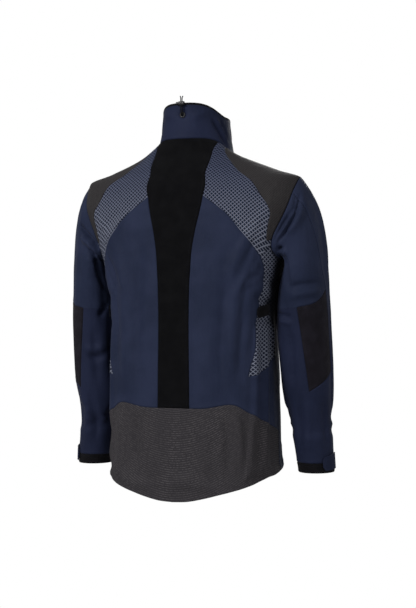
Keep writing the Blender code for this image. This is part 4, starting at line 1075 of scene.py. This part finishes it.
def torso_seams():
    def cut(points):
        return seam(TORSO, points)

    def edge(phi):
        return tuple(armhole([phi])[0])

    strip = BACK_STRIP
    front = [(torso_edge(level), level) for level in np.linspace(0.0, HEM_FRONT, 60)]
    return {
        "neck_back": cut([(0, 0), (28, 0), strip[0]]),
        "neck_yoke": cut([strip[0], (64, 0), YOKE_TOP[0]]),
        "neck_shoulder": cut([YOKE_TOP[0], (84, 0), SHOULDER_FRONT[0]]),
        "neck_front": cut([SHOULDER_FRONT[0], (135, 0), front[0]]),
        "strip_high": cut(strip[:5]),
        "strip_low": cut(strip[4:]),
        "yoke_top": cut(YOKE_TOP),
        "yoke_side": cut([YOKE_TOP[-1], (52.5, -0.200), (56, -0.222), edge(SHOULDER_TIP)]),
        "yoke_low": cut(YOKE_LOW),
        "yoke_end": cut([edge(SIDE_TOP), YOKE_LOW[-1]]),
        "side_back": cut(SIDE_BACK),
        "side_low": cut(SIDE_LOW),
        "side_front": cut([edge(SIDE_STATION), (SIDE_SEAM, -0.320), SIDE_LOW[-1]]),
        "side_seam": cut([SIDE_LOW[-1], TAIL_TOP[-1]]),
        "tail_top": cut(TAIL_TOP),
        "tail_top_middle": cut([(0, TAIL_TOP[0][1]), TAIL_TOP[0]]),
        "tail_side": cut([TAIL_TOP[-1], TAIL_HEM[-1]]),
        "tail_hem": cut(TAIL_HEM),
        "shoulder_front": cut([*SHOULDER_FRONT, edge(FRONT_STATION)]),
        "front_hem": cut([TAIL_HEM[-1], (130, HEM_FRONT - 0.006), front[-1]]),
        "front_edge": cut(front),
    }


def back(run):
    return run[::-1]


def other_side(run):
    return run * np.array([-1, 1])


def both_sides(half):
    """A full outline from its half, which starts and ends on the centre line."""
    return loop(half, back(other_side(half)))


def pocket_window():
    """The opening for a hand pocket's zip, as an outline on the torso."""
    levels = np.linspace(POCKET_TOP + 0.003, POCKET_TOP - POCKET_LENGTH - 0.003, 40)
    middle = np.column_stack([np.full(len(levels), float(POCKET_THETA)), levels])
    wide = POCKET_WINDOW / 2 / np.linalg.norm(TORSO.slopes(middle)[0], axis=1)
    low = middle - np.column_stack([wide, np.zeros(len(wide))])
    high = middle + np.column_stack([wide, np.zeros(len(wide))])
    across = [np.linspace(high[-1], low[-1], 6)[1:-1], np.linspace(low[0], high[0], 6)[1:-1]]
    return np.vstack([high, across[0], back(low), across[1]])


LAY = {"yoke_panel": back_lengths, "shoulder_panel": back_lengths, "side_panel": side_lengths}


def make_torso():
    s = torso_seams()
    strip = [s["neck_back"], s["strip_high"], s["strip_low"], back(s["tail_top_middle"])]
    tail = [s["tail_top_middle"], s["tail_top"], s["tail_side"], back(s["tail_hem"])]
    centre = {
        "back_centre_panel": ("stretch", both_sides(np.vstack(strip))),
        "tail_panel": ("ribbed", both_sides(np.vstack(tail))),
    }
    for name, (finish, outline) in centre.items():
        ob = cloth(name + "_cloth", finish, TORSO, outline)
        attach(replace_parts(ob, name), "root")
    halves = {
        "back_panel": ("navy", loop(
            s["yoke_low"], s["side_back"], s["side_low"], s["side_seam"],
            back(s["tail_top"]), back(s["strip_low"]),
        )),
        "yoke_panel": ("print", loop(
            s["neck_yoke"], s["yoke_top"], s["yoke_side"], armhole_run(SHOULDER_TIP, SIDE_TOP),
            s["yoke_end"], back(s["yoke_low"]), back(s["strip_high"]),
        )),
        "shoulder_panel": ("ripstop", loop(
            s["neck_shoulder"], s["shoulder_front"],
            armhole_run(FRONT_STATION + TURN, SHOULDER_TIP), back(s["yoke_side"]), back(s["yoke_top"]),
        )),
        "side_panel": ("print", loop(
            armhole_run(SIDE_TOP, SIDE_STATION), s["side_front"], back(s["side_low"]),
            back(s["side_back"]), back(s["yoke_end"]),
        )),
        "front_panel": ("navy", loop(
            s["neck_front"], s["front_edge"], back(s["front_hem"]), back(s["tail_side"]),
            back(s["side_seam"]), back(s["side_front"]), armhole_run(SIDE_STATION, FRONT_STATION),
            back(s["shoulder_front"]),
        )),
    }  # fmt: skip
    for hand, side in HANDS:
        for name, (finish, outline) in halves.items():
            hole = pocket_window() if name == "front_panel" else None
            lengths = LAY.get(name, flat_lengths)
            ob = cloth(f"{name}_cloth_{hand}", finish, TORSO, outline, side, hole=hole, lengths=lengths)
            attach(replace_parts(ob, f"{name}_{hand}"), "root")


# ---------------------------------------------------------------- sleeves
OUTER_SEAM = [
    (63, -0.175), (68, -0.231), (80, -0.287), (91, -0.3185), (98, -0.400), (104, -0.492),
    (106, -0.600), (107, CUFF_END),
]  # fmt: skip
PATCH_CORNER_HIGH = (5, -0.358)
PATCH_CORNER_LOW = (20, -0.534)
PATCH_OUTER_TOP = 3
PATCH_OUTER_LOW = 5


def sleeve_start(phi):
    """How far along the cut edge of the sleeve lies, so that it clears the torso's edge."""
    top = (1 + np.sin(np.radians(phi))) / 2
    return CAP * ARMHOLE_GAP / np.hypot(CAP_OUT + CAP_OUT_TOP * top, CAP_DOWN + CAP_DOWN_TOP * top)


def outer_seam_at(z):
    rows = np.array(OUTER_SEAM[::-1])[:, ::-1]
    return float(np.interp(z, rows[:, 0], rows[:, 1]))


def sleeve_edge(first, last):
    phi = stations(first, last)
    return np.column_stack([phi, sleeve_start(phi)])


def down(points):
    return [(u, along_sleeve(z)) for u, z in points]


def sleeve_seams():
    def cut(points):
        return seam(SLEEVE, points)

    def under_seam(phi):
        start = (phi + UNDER_STATION - INNER_SEAM, float(sleeve_start(UNDER_STATION)))
        return cut([start, (phi, CAP), *down([(phi, ELBOW_LEVEL)])])

    high, low = PATCH_CORNER_HIGH, PATCH_CORNER_LOW
    top, bottom = OUTER_SEAM[PATCH_OUTER_TOP], OUTER_SEAM[PATCH_OUTER_LOW]
    front_elbow = (outer_seam_at(ELBOW_LEVEL), ELBOW_LEVEL)
    band = CUFF_END + CUFF_BAND
    front_band = (outer_seam_at(band), band)
    under = INNER_SEAM + TURN
    cap_start = (CAP_STATION, float(sleeve_start(CAP_STATION)))
    return {
        "cap": cut([cap_start, (60, 0.4 * CAP), (67, 0.75 * CAP), (78, CAP), *down([top])]),
        "outer_elbow": cut(down([top, front_elbow])),
        "outer_patch": cut(down([front_elbow, OUTER_SEAM[4], bottom])),
        "outer_low": cut(down([bottom, OUTER_SEAM[6], front_band])),
        "under_high": under_seam(INNER_SEAM),
        "under_low": cut(down([(INNER_SEAM, ELBOW_LEVEL), (INNER_SEAM, band)])),
        "patch_top": cut(down([top, (50, -0.347), high])),
        "patch_inner": cut(down([high, low])),
        "patch_low": cut(down([low, bottom])),
        "back_elbow": cut(down([high, (INNER_SEAM, ELBOW_LEVEL)])),
        "front_elbow": cut(down([front_elbow, (under, ELBOW_LEVEL)])),
        "back_band": cut(down([(INNER_SEAM, band), front_band])),
        "front_band": cut(down([front_band, (under, band)])),
        "under_high_front": under_seam(under),
        "under_low_front": cut(down([(under, ELBOW_LEVEL), (under, band)])),
    }


def make_sleeves():
    s = sleeve_seams()
    outlines = {
        "sleeve_back_upper": ("navy", loop(
            sleeve_edge(UNDER_STATION, CAP_STATION), s["cap"], s["patch_top"], s["back_elbow"],
            back(s["under_high"]),
        )),
        "sleeve_front_upper": ("navy", loop(
            sleeve_edge(CAP_STATION, UNDER_STATION + TURN), s["under_high_front"],
            back(s["front_elbow"]), back(s["outer_elbow"]), back(s["cap"]),
        )),
        "elbow_patch": ("patch", loop(
            s["patch_top"], s["patch_inner"], s["patch_low"], back(s["outer_patch"]),
            back(s["outer_elbow"]),
        )),
        "sleeve_back_lower": ("navy_painted_shade", loop(
            s["back_elbow"], s["under_low"], s["back_band"], back(s["outer_low"]),
            back(s["patch_low"]), back(s["patch_inner"]),
        )),
        "sleeve_front_lower": ("navy_painted_shade", loop(
            s["outer_patch"], s["outer_low"], s["front_band"], back(s["under_low_front"]),
            back(s["front_elbow"]),
        )),
    }  # fmt: skip
    for hand, side in HANDS:
        for name, (finish, outline) in outlines.items():
            unsewn = None if name == "elbow_patch" else s["back_elbow" if "back" in name else "front_elbow"]
            pitch = UPPER_GRID if name.endswith("upper") else GRID
            ob = cloth(f"{name}_cloth_{hand}", finish, SLEEVE, outline, side, pitch=pitch, unsewn=unsewn)
            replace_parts(ob, f"{name}_{hand}")
            if name.endswith("upper"):
                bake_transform(ob)
            else:
                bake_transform(ob)


# ---------------------------------------------------------------- cuffs, tabs and hook patches
# Each tab or patch: its sewn end, then its free end, as (degrees, upper corner, lower corner)
WAIST = -0.3610
CUFF_TOP, CUFF_LOW = along_sleeve(CUFF_END + 0.042), along_sleeve(CUFF_END + 0.008)
WAIST_TAB = ((76, WAIST + 0.0115, WAIST - 0.0115), (60, WAIST + 0.0065, WAIST - 0.0180))
WAIST_HOOK = ((74, WAIST + 0.009, WAIST - 0.010), (64, WAIST + 0.007, WAIST - 0.014))
CUFF_TAB = ((98, CUFF_TOP, CUFF_LOW), (42, CUFF_TOP + 0.008, CUFF_LOW + 0.003))
CUFF_HOOK = ((92, CUFF_TOP + 0.005, CUFF_LOW - 0.015), (52, CUFF_TOP + 0.010, CUFF_LOW - 0.015))
HOOK_THICK = 0.0009
LAYER_GAP = 0.0008
HOOK_HEIGHT = LAYER_GAP + HOOK_THICK
TAB_THICK = 0.0014
TAB_HEIGHT = HOOK_HEIGHT + LAYER_GAP + TAB_THICK
TAB_RINGS = (0.0006, 0.0014, 0.0026, 0.0036)
TAB_BLUNT, TAB_BACK_OFF = 0.25, 0.12  # shares of a tab's width and length cut off its free corners
TAB_STEP = 0.002
TAB_GRID = 0.003
TAB_STITCH_LINE = 0.0030
HOOK_STITCH_LINE = 0.0014


def tab_profile(distance):
    """A turned edge: rounded down at the rim, with a groove under its stitches."""
    edge = -0.0005 * np.clip(1 - distance / 0.0009, 0, 1) ** 2
    return edge - 0.00035 * np.exp(-(((distance - TAB_STITCH_LINE) / 0.0008) ** 2))


def strip_outline(surface, ends):
    """From the sewn end to the free end, whose corners are cut off."""
    sewn, free = ends
    blunt = TAB_BLUNT * (free[2] - free[1])
    back_off = TAB_BACK_OFF * (sewn[0] - free[0])
    corners = [
        (sewn[0], sewn[1]), (free[0] + back_off, free[1]), (free[0], free[1] + blunt),
        (free[0], free[2] - blunt), (free[0] + back_off, free[2]), (sewn[0], sewn[2]),
    ]  # fmt: skip
    return straight_sides(surface, corners, TAB_STEP)


def tab_cloth(name, finish, surface, ends, hand):
    return cloth(
        name, finish, surface, strip_outline(surface, ends), hand, height=TAB_HEIGHT, thick=TAB_THICK,
        pitch=TAB_GRID, profile=tab_profile, rings=TAB_RINGS, inner="hook", sewn=TAB_STITCH_LINE,
        folds=False,
    )  # fmt: skip


def hook_cloth(name, surface, ends, hand):
    return cloth(
        name, "hook", surface, strip_outline(surface, ends), hand, height=HOOK_HEIGHT, thick=HOOK_THICK,
        pitch=TAB_GRID, profile=no_profile, rings=(HOOK_STITCH_LINE,), inner="hook",
        sewn=HOOK_STITCH_LINE, folds=False,
    )  # fmt: skip


def make_cuffs():
    s = sleeve_seams()
    end = along_sleeve(CUFF_END)
    top = loop(s["back_band"], s["front_band"])
    first, last = top[0], top[-1]
    low = np.column_stack([top[:, 0], np.full(len(top), end)])
    sides = [np.linspace(a, b, 6)[1:-1] for a, b in ((last, low[-1]), (low[0], first))]
    outline = np.vstack([top, sides[0], back(low), sides[1]])
    for hand, side in HANDS:
        band = cloth(f"cuff_band_cloth_{hand}", "band", SLEEVE, outline, side, pitch=0.005, thick=0.0022)
        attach(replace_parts(band, f"cuff_band_{hand}"), f"forearm_sleeve_{hand}")
        tab = tab_cloth(f"cuff_tab_cloth_{hand}", "navy_painted_shade", SLEEVE, CUFF_TAB, side)
        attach(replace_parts(tab, f"cuff_tab_{hand}"), f"cuff_tab_{hand}")
        hook = hook_cloth(f"cuff_hook_cloth_{hand}", SLEEVE, CUFF_HOOK, side)
        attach(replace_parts(hook, f"cuff_hook_patch_{hand}"), f"forearm_sleeve_{hand}")


def make_waist_tabs():
    for hand, side in HANDS:
        tab = tab_cloth(f"waist_tab_cloth_{hand}", "band", TORSO, WAIST_TAB, side)
        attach(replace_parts(tab, f"waist_tab_{hand}"), f"waist_tab_{hand}")
        hook = hook_cloth(f"waist_hook_cloth_{hand}", TORSO, WAIST_HOOK, side)
        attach(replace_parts(hook, f"waist_hook_patch_{hand}"), "root")


# ---------------------------------------------------------------- swept and turned pieces
def sweep(name, finish, path, side, up, profile, closed=False):
    """A profile of (across, up) points carried along a path, with its ends closed."""
    count, around = len(path), len(profile)
    points = np.vstack([p + profile[:, :1] * a + profile[:, 1:] * b for p, a, b in zip(path, side, up)])
    faces = []
    for i in range(count if closed else count - 1):
        for k in range(around):
            a, b = i * around + k, i * around + (k + 1) % around
            c, d = ((i + 1) % count) * around + (k + 1) % around, ((i + 1) % count) * around + k
            faces.append((a, b, c, d))
    if not closed:
        faces.append(tuple(range(around))[::-1])
        faces.append(tuple(range((count - 1) * around, count * around)))
    ob = make_mesh(name, points, faces, [FINISH[finish]])
    tidy_normals(ob)
    return ob


def tidy_normals(ob):
    """Points every face outwards and keeps edges sharp where faces meet at a steep angle."""
    bm = bmesh.new()
    bm.from_mesh(ob.data)
    bmesh.ops.recalc_face_normals(bm, faces=bm.faces)
    bm.to_mesh(ob.data)
    bm.free()
    ob.data.shade_smooth()
    ob.data.set_sharp_from_angle(angle=radians(50))


def rounded_box(wide, tall, corner, steps=3):
    """A rounded rectangle's outline, centred."""
    out = []
    half_x, half_y = wide / 2 - corner, tall / 2 - corner
    for k, (x, y) in enumerate(((1, 1), (-1, 1), (-1, -1), (1, -1))):
        for i in range(steps + 1):
            a = radians(90 * (k + i / steps))
            out.append((x * half_x + corner * cos(a), y * half_y + corner * sin(a)))
    return np.array(out)


def straight(place, length, steps=2):
    """A straight path up a matrix's own z axis, with its own x and -y as side and up."""
    spots = [place @ Matrix.Translation((0, 0, length * (k / (steps - 1) - 0.5))) for k in range(steps)]
    path = np.array([tuple(m.translation) for m in spots])
    across = np.array([tuple(m.to_3x3().col[0]) for m in spots])
    out = np.array([tuple(-m.to_3x3().col[1]) for m in spots])
    return path, across, out


def turned(name, finish, place, profile, steps=40):
    """A ring turned from a closed profile of (radius, height) points about a matrix's own z axis."""
    turns = np.linspace(0, 2 * pi, steps, endpoint=False)
    spin = np.array(place.to_3x3())
    out = np.column_stack([np.cos(turns), np.sin(turns), np.zeros(steps)]) @ spin.T
    path = np.tile(np.array(place.translation), (steps, 1))
    axis = np.tile(spin[:, 2], (steps, 1))
    return sweep(name, finish, path, out, axis, np.array(profile), closed=True)


# ---------------------------------------------------------------- collar and drawcord
EYELET_HOLE = 0.0035
EYELET_RIM = 0.0062
EYELET_SIDES = 24
EYELET_LEVEL = 0.050
LOCK_LEVEL = 0.0735
LOCK_RADIUS = 0.0045
CORD = 0.0022
CORD_SPREAD = 0.0032
LINING = 0.0010
RIM_BINDING = (0.0042, 0.0058, 0.0018)  # thickness, height and corner
HANGER_REACH = 24  # degrees to each side of the centre back
HANGER_SPAN = (0.10, 0.24)  # shares of the collar's height


def collar_outline():
    s = torso_seams()
    low = loop(s["neck_back"], s["neck_yoke"], s["neck_shoulder"], s["neck_front"])
    end = low[-1, 0]
    front = np.column_stack([np.full(11, end), np.linspace(0, 1, 13)[1:-1]])
    rim = np.column_stack([low[:, 0], np.ones(len(low))])
    return both_sides(np.vstack([low, front, back(rim)])), rim


def eyelet_outline():
    at = np.array([[0.0, EYELET_LEVEL / COLLAR_BACK]])
    along_u, along_v = COLLAR.slopes(at)
    turns = np.linspace(0, 2 * pi, EYELET_SIDES, endpoint=False)
    wide, tall = (EYELET_HOLE / np.linalg.norm(a) for a in (along_u, along_v))
    return at + np.column_stack([wide * np.cos(turns), tall * np.sin(turns)])


def eyelet_place():
    at = np.array([[0.0, EYELET_LEVEL / COLLAR_BACK]])
    spot, out = Vector(COLLAR.at(at)[0]), Vector(COLLAR.normals(at)[0])
    return Matrix.Translation(spot) @ out.to_track_quat("Z", "Y").to_matrix().to_4x4()


def make_collar():
    outline, rim = collar_outline()
    outer = cloth("collar_outer_cloth", "navy_painted_shade", COLLAR, outline, pitch=0.005, hole=eyelet_outline())
    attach(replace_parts(outer, "collar_outer"), "root")
    lining = cloth(
        "collar_lining_cloth", "lining", COLLAR, inset(COLLAR, outline, 0.0015), pitch=0.006,
        height=-CLOTH - LAYER_GAP, thick=LINING, sewn=0.0075,
    )  # fmt: skip
    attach(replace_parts(lining, "collar_lining"), "root")
    edge = loop(np.vstack([back(other_side(rim)), rim[1:]]))
    out = COLLAR.normals(edge)
    up = unit(COLLAR.slopes(edge)[1])
    lift = folds_at(COLLAR, COLLAR.at(edge), 1)
    path = COLLAR.at(edge) + out * (lift - 0.0014)[:, None] - up * 0.0012
    binding = sweep("collar_rim_binding", "band", path, out, up, rounded_box(*RIM_BINDING))
    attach(binding, "root")
    low, high = HANGER_SPAN
    corners = [(-HANGER_REACH, low), (HANGER_REACH, low), (HANGER_REACH, high), (-HANGER_REACH, high)]
    hanger = cloth(
        "hanger_loop_tape", "stretch", COLLAR, straight_sides(COLLAR, corners), pitch=0.004, thick=0.0010,
        height=-CLOTH - LINING - 3 * LAYER_GAP, profile=tab_profile, rings=TAB_RINGS, inner="stretch",
        sewn=0.0022, folds=False,
    )  # fmt: skip
    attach(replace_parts(hanger, "hanger_loop"), "root")


def make_drawcord():
    spot = eyelet_place()
    inner, outer = EYELET_HOLE - 0.0004, EYELET_RIM
    ring = [(inner, -0.0016), (inner, 0.0008), (inner + 0.0006, 0.0014), (inner + 0.0014, 0.0016),
            (outer - 0.0008, 0.0013), (outer, 0.0007), (outer, 0.0002), (outer - 0.001, 0.0001),
            (inner + 0.0006, 0.0001), (inner + 0.0006, -0.0016)]
    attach(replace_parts(turned("collar_eyelet_ring", "puller", spot, ring), "collar_eyelet"), "root")
    out_y = COLLAR_BACK_Y + LOCK_RADIUS + 0.0012
    half = CORD_SPREAD / 2
    inside_y = spot.translation.y + 0.0004 + CORD / 2
    side = np.array([
        (half, inside_y, EYELET_LEVEL), (half, inside_y + 0.0022, EYELET_LEVEL + 0.0010),
        (half, out_y - 0.0012, EYELET_LEVEL + 0.0055), (half, out_y, EYELET_LEVEL + 0.0110),
        (half, out_y, LOCK_LEVEL), (half, out_y, LOCK_LEVEL + LOCK_RADIUS + 0.0066),
        (half + 0.0016, out_y - 0.0006, LOCK_LEVEL + LOCK_RADIUS + 0.0112),
    ])
    path = smooth_run(np.vstack([back(side) * (-1, 1, 1), side]), 6)
    curve = bpy.data.curves.new("collar_drawcord_braid", "CURVE")
    curve.dimensions = "3D"
    curve.bevel_depth = CORD / 2
    curve.bevel_resolution = 4
    curve.use_fill_caps = True
    spline = curve.splines.new("POLY")
    spline.points.add(len(path) - 1)
    spline.points.foreach_set("co", np.column_stack([path, np.ones(len(path))]).ravel())
    curve.materials.append(FINISH["cord"])
    cord = bpy.data.objects.new("collar_drawcord_braid", curve)
    bpy.context.scene.collection.objects.link(cord)
    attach(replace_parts(cord, "collar_drawcord"), "root")


# ---------------------------------------------------------------- zips and pockets
TEETH = 0.0030
TEETH_THICK = 0.0024
TOOTH_PITCH = 0.0029
ZIP_SPLIT = 0.0010
ZIP_TAPE = 0.0110
ZIP_END = 0.004
ZIP_CLEAR = 0.0004
ZIP_STEPS = 60
GUARD_BEHIND = 0.0040
GUARD_WIDE = 0.031
GUARD_THICK = 0.0012
GUARD_CORNER = 0.0005
POCKET_DEPTH = 0.0065
POCKET_CLOTH = 0.0016
TAPE_THICK = 0.0008
TAPE_CORNER = 0.00035


def front_place(z):
    return Matrix.Translation((0, front_y(z), z)) @ Matrix.Rotation(-atan(FRONT_SLOPE), 4, "X")


def pocket_place(side):
    """The middle of a pocket zip: z up its length, -y outwards, in the panel's middle plane."""
    spots = TORSO.at(np.array([(POCKET_THETA, POCKET_TOP), (POCKET_THETA, POCKET_TOP - POCKET_LENGTH)]))
    middle = np.array([(POCKET_THETA, POCKET_TOP - POCKET_LENGTH / 2)])
    up = Vector(spots[0] - spots[1]).normalized()
    out = Vector(TORSO.normals(middle)[0])
    out = (out - up * out.dot(up)).normalized()
    across = (-out).cross(up)
    at = Vector(TORSO.at(middle)[0]) - out * CLOTH / 2
    place = Matrix([[across[k], -out[k], up[k], at[k]] for k in range(3)] + [[0, 0, 0, 1]])
    flip = Matrix.Diagonal((side, 1, 1, 1))
    return flip @ place @ flip


def teeth_row(name, place, way, length):
    """Single moulded teeth along one side of a zip, way +1 or -1 across it; the +1 side starts half a
    pitch later."""
    bm = bmesh.new()
    size = Matrix.Diagonal((TEETH + 0.0006, TEETH_THICK, 0.0013, 1))
    bmesh.ops.create_cube(bm, size=1, matrix=size)
    bmesh.ops.bevel(bm, geom=bm.edges[:], offset=0.00028, segments=1, affect="EDGES")
    one = np.array([tuple(v.co) for v in bm.verts])
    shape = [tuple(v.index for v in f.verts) for f in bm.faces]
    bm.free()
    middle = way * (ZIP_SPLIT / 2 + TEETH / 2 - 0.0001)
    late = 0.5 if way > 0 else 0.0
    count = int((length - TOOTH_PITCH) / TOOTH_PITCH)
    points, faces = [], []
    for k in range(count):
        z = (k + 0.5 + late) * TOOTH_PITCH - length / 2
        points.append(one + (middle, 0, z))
        faces += [tuple(i + k * len(one) for i in f) for f in shape]
    world = np.array(place)
    points = np.vstack(points) @ world[:3, :3].T + world[:3, 3]
    ob = make_mesh(name, points, faces, [FINISH["puller"]])
    tidy_normals(ob)
    return ob


def make_front_zip():
    top, bottom = COLLAR_FRONT - ZIP_END, HEM_FRONT + ZIP_END
    length = (top - bottom) * hypot(1, FRONT_SLOPE)
    middle = front_place((top + bottom) / 2)
    inner = ZIP_SPLIT + TEETH + ZIP_CLEAR
    for hand, side in HANDS:
        teeth = teeth_row(f"zip_teeth_row_{hand}", middle, side, length)
        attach(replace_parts(teeth, f"zip_teeth_{hand}"), "root")
        spot = middle @ Matrix.Translation((side * (inner + ZIP_TAPE / 2 - 0.0010), 0, 0))
        web = rounded_box(ZIP_TAPE + 0.002, TAPE_THICK, TAPE_CORNER)
        tape = sweep(f"zip_tape_web_{hand}", "tape", *straight(spot, length, ZIP_STEPS), web)
        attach(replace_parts(tape, f"zip_tape_{hand}"), "root")
    behind = middle @ Matrix.Translation((0, GUARD_BEHIND, 0))
    flap = rounded_box(GUARD_WIDE, GUARD_THICK, GUARD_CORNER)
    guard = sweep("zip_guard_flap", "lining", *straight(behind, length, ZIP_STEPS), flap)
    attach(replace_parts(guard, "zip_guard"), "root")


def make_pockets():
    tape_end = POCKET_WINDOW / 2 - LAYER_GAP
    for hand, side in HANDS:
        place = pocket_place(side)
        for edge, way in (("front", -side), ("rear", side)):
            teeth = teeth_row(f"pocket_teeth_{edge}_{hand}", place, way, POCKET_LENGTH)
            wide = tape_end - TEETH
            spot = place @ Matrix.Translation((way * (TEETH + wide / 2), 0, 0))
            web = rounded_box(wide, TAPE_THICK, TAPE_CORNER)
            tape = sweep(f"pocket_tape_{edge}_{hand}", "tape", *straight(spot, POCKET_LENGTH, 20), web)
            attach(teeth, "root")
            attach(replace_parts(tape, f"pocket_zip_{edge}_{hand}"), "root")
        low = POCKET_TOP - POCKET_LENGTH
        corners = [
            (POCKET_THETA - 32, POCKET_TOP + 0.01), (POCKET_THETA + 12, POCKET_TOP + 0.01),
            (POCKET_THETA + 14, low - 0.035), (POCKET_THETA - 30, low - 0.035),
        ]  # fmt: skip
        bag = cloth(
            f"pocket_bag_cloth_{hand}", "mesh", TORSO, straight_sides(TORSO, corners), side,
            height=-POCKET_DEPTH, thick=POCKET_CLOTH, inner="mesh", folds=False,
        )  # fmt: skip
        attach(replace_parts(bag, f"pocket_bag_{hand}"), "root")


EDGE_BEVEL = 0.00025


def finish_hardware():
    """The CAD sliders, pulls, stop and cord lock keep their shape, with rounded edges and a finish."""
    kept = ["zip_slider", "zip_pull", "zip_stop", "cord_lock_barrel", "cord_lock_plunger"]
    kept += [f"pocket_{part}_{hand}" for part in ("slider", "pull") for hand, _ in HANDS]
    for name in kept:
        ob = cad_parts[name]
        ob.data.materials.clear()
        ob.data.materials.append(FINISH["moulded" if name.startswith("cord") else "puller"])
        ob.data.shade_smooth()
        ob.data.set_sharp_from_angle(angle=radians(35))
        bevel = ob.modifiers.new("rounded", "BEVEL")
        bevel.width = EDGE_BEVEL
        bevel.segments = 2
        bevel.limit_method = "ANGLE"
        bevel.angle_limit = radians(40)
        bevel.harden_normals = True


# ---------------------------------------------------------------- studio
CAMERA_FAR = 3.0
CAMERA_LEVEL = -0.35
CAMERA_BACK = Vector((-0.358, 0.934, 0))  # from the jacket towards the camera
CAMERA_RIGHT = Vector((-0.934, -0.358, 0))
CAMERA_SHIFT = -0.029
LENS = 82.2
FLOOR_LEVEL = -1.32
SKY_LOW = 0.42  # strength of the light from the horizon
SKY_HIGH = 0.66  # and from above
FLOOR = 300.0  # half its width


def make_camera():
    data = bpy.data.cameras.new("camera")
    data.lens = LENS
    data.sensor_width = 36
    camera = bpy.data.objects.new("camera", data)
    bpy.context.scene.collection.objects.link(camera)
    camera.location = CAMERA_BACK * CAMERA_FAR - CAMERA_RIGHT * CAMERA_SHIFT + Vector((0, 0, CAMERA_LEVEL))
    camera.rotation_euler = (-CAMERA_BACK).to_track_quat("-Z", "Y").to_euler()
    bpy.context.scene.camera = camera


def area_light(name, azimuth, level, far, size, power):
    """A softbox round the jacket, azimuth in degrees from the camera's side, turned to the jacket."""
    data = bpy.data.lights.new(name, "AREA")
    data.shape = "DISK"
    data.size = size
    data.energy = power
    light = bpy.data.objects.new(name, data)
    bpy.context.scene.collection.objects.link(light)
    way = Matrix.Rotation(radians(azimuth), 3, "Z") @ CAMERA_BACK
    light.location = way * far + Vector((0, 0, level))
    aim = Vector((0, 0, CAMERA_LEVEL)) - light.location
    light.rotation_euler = aim.to_track_quat("-Z", "Y").to_euler()


def make_studio():
    world = bpy.data.worlds.new("studio")
    world.use_nodes = True
    tree = world.node_tree
    shown = tree.nodes["Background"]
    shown.inputs["Color"].default_value = (1, 1, 1, 1)
    around = tree.nodes.new("ShaderNodeBackground")
    height = tree.nodes.new("ShaderNodeSeparateXYZ")
    strength = tree.nodes.new("ShaderNodeMapRange")
    strength.inputs["From Min"].default_value = -0.3
    strength.inputs["To Min"].default_value = SKY_LOW
    strength.inputs["To Max"].default_value = SKY_HIGH
    path = tree.nodes.new("ShaderNodeLightPath")
    mix = tree.nodes.new("ShaderNodeMixShader")
    tree.links.new(tree.nodes.new("ShaderNodeTexCoord").outputs["Generated"], height.inputs[0])
    tree.links.new(height.outputs[2], strength.inputs["Value"])
    tree.links.new(strength.outputs[0], around.inputs["Strength"])
    tree.links.new(path.outputs["Is Camera Ray"], mix.inputs[0])
    tree.links.new(around.outputs[0], mix.inputs[1])
    tree.links.new(shown.outputs[0], mix.inputs[2])
    tree.links.new(mix.outputs[0], tree.nodes["World Output"].inputs["Surface"])
    bpy.context.scene.world = world
    bpy.context.scene.view_settings.view_transform = "Standard"
    area_light("key_light", -40, 0.9, 2.7, 1.0, 62)
    area_light("fill_light", 48, 0.1, 3.0, 1.8, 16)
    area_light("front_light", 168, 0.7, 2.8, 1.6, 34)
    corners = [(x * FLOOR, y * FLOOR, FLOOR_LEVEL) for x, y in ((-1, -1), (1, -1), (1, 1), (-1, 1))]
    floor = make_mesh("studio_floor", corners, [(0, 1, 2, 3)], [floor_finish()])


def floor_finish():
    """Pale paper that looks evenly lit, and sends only a part of the light up to the jacket."""
    n = Nodes("studio_floor", rough=0.9)
    n.colour(n.mix(n.noise(n.place(), 3.0), rgb(170, 170, 172), rgb(178, 178, 180)))
    glow = n.add("Emission", {"Color": (1, 1, 1, 1), "Strength": 1.0})
    path = n.add("LightPath")
    mix = n.add("MixShader", {0: path.outputs["Is Camera Ray"], 1: n.shader.outputs[0], 2: glow.outputs[0]})
    n.tree.links.new(mix.outputs[0], n.tree.nodes["Material Output"].inputs["Surface"])
    return n.mat


make_camera()
make_studio()
make_crumple()
make_torso()
make_collar()
make_sleeves()
make_cuffs()
make_waist_tabs()
make_front_zip()
make_pockets()
make_drawcord()
finish_hardware()
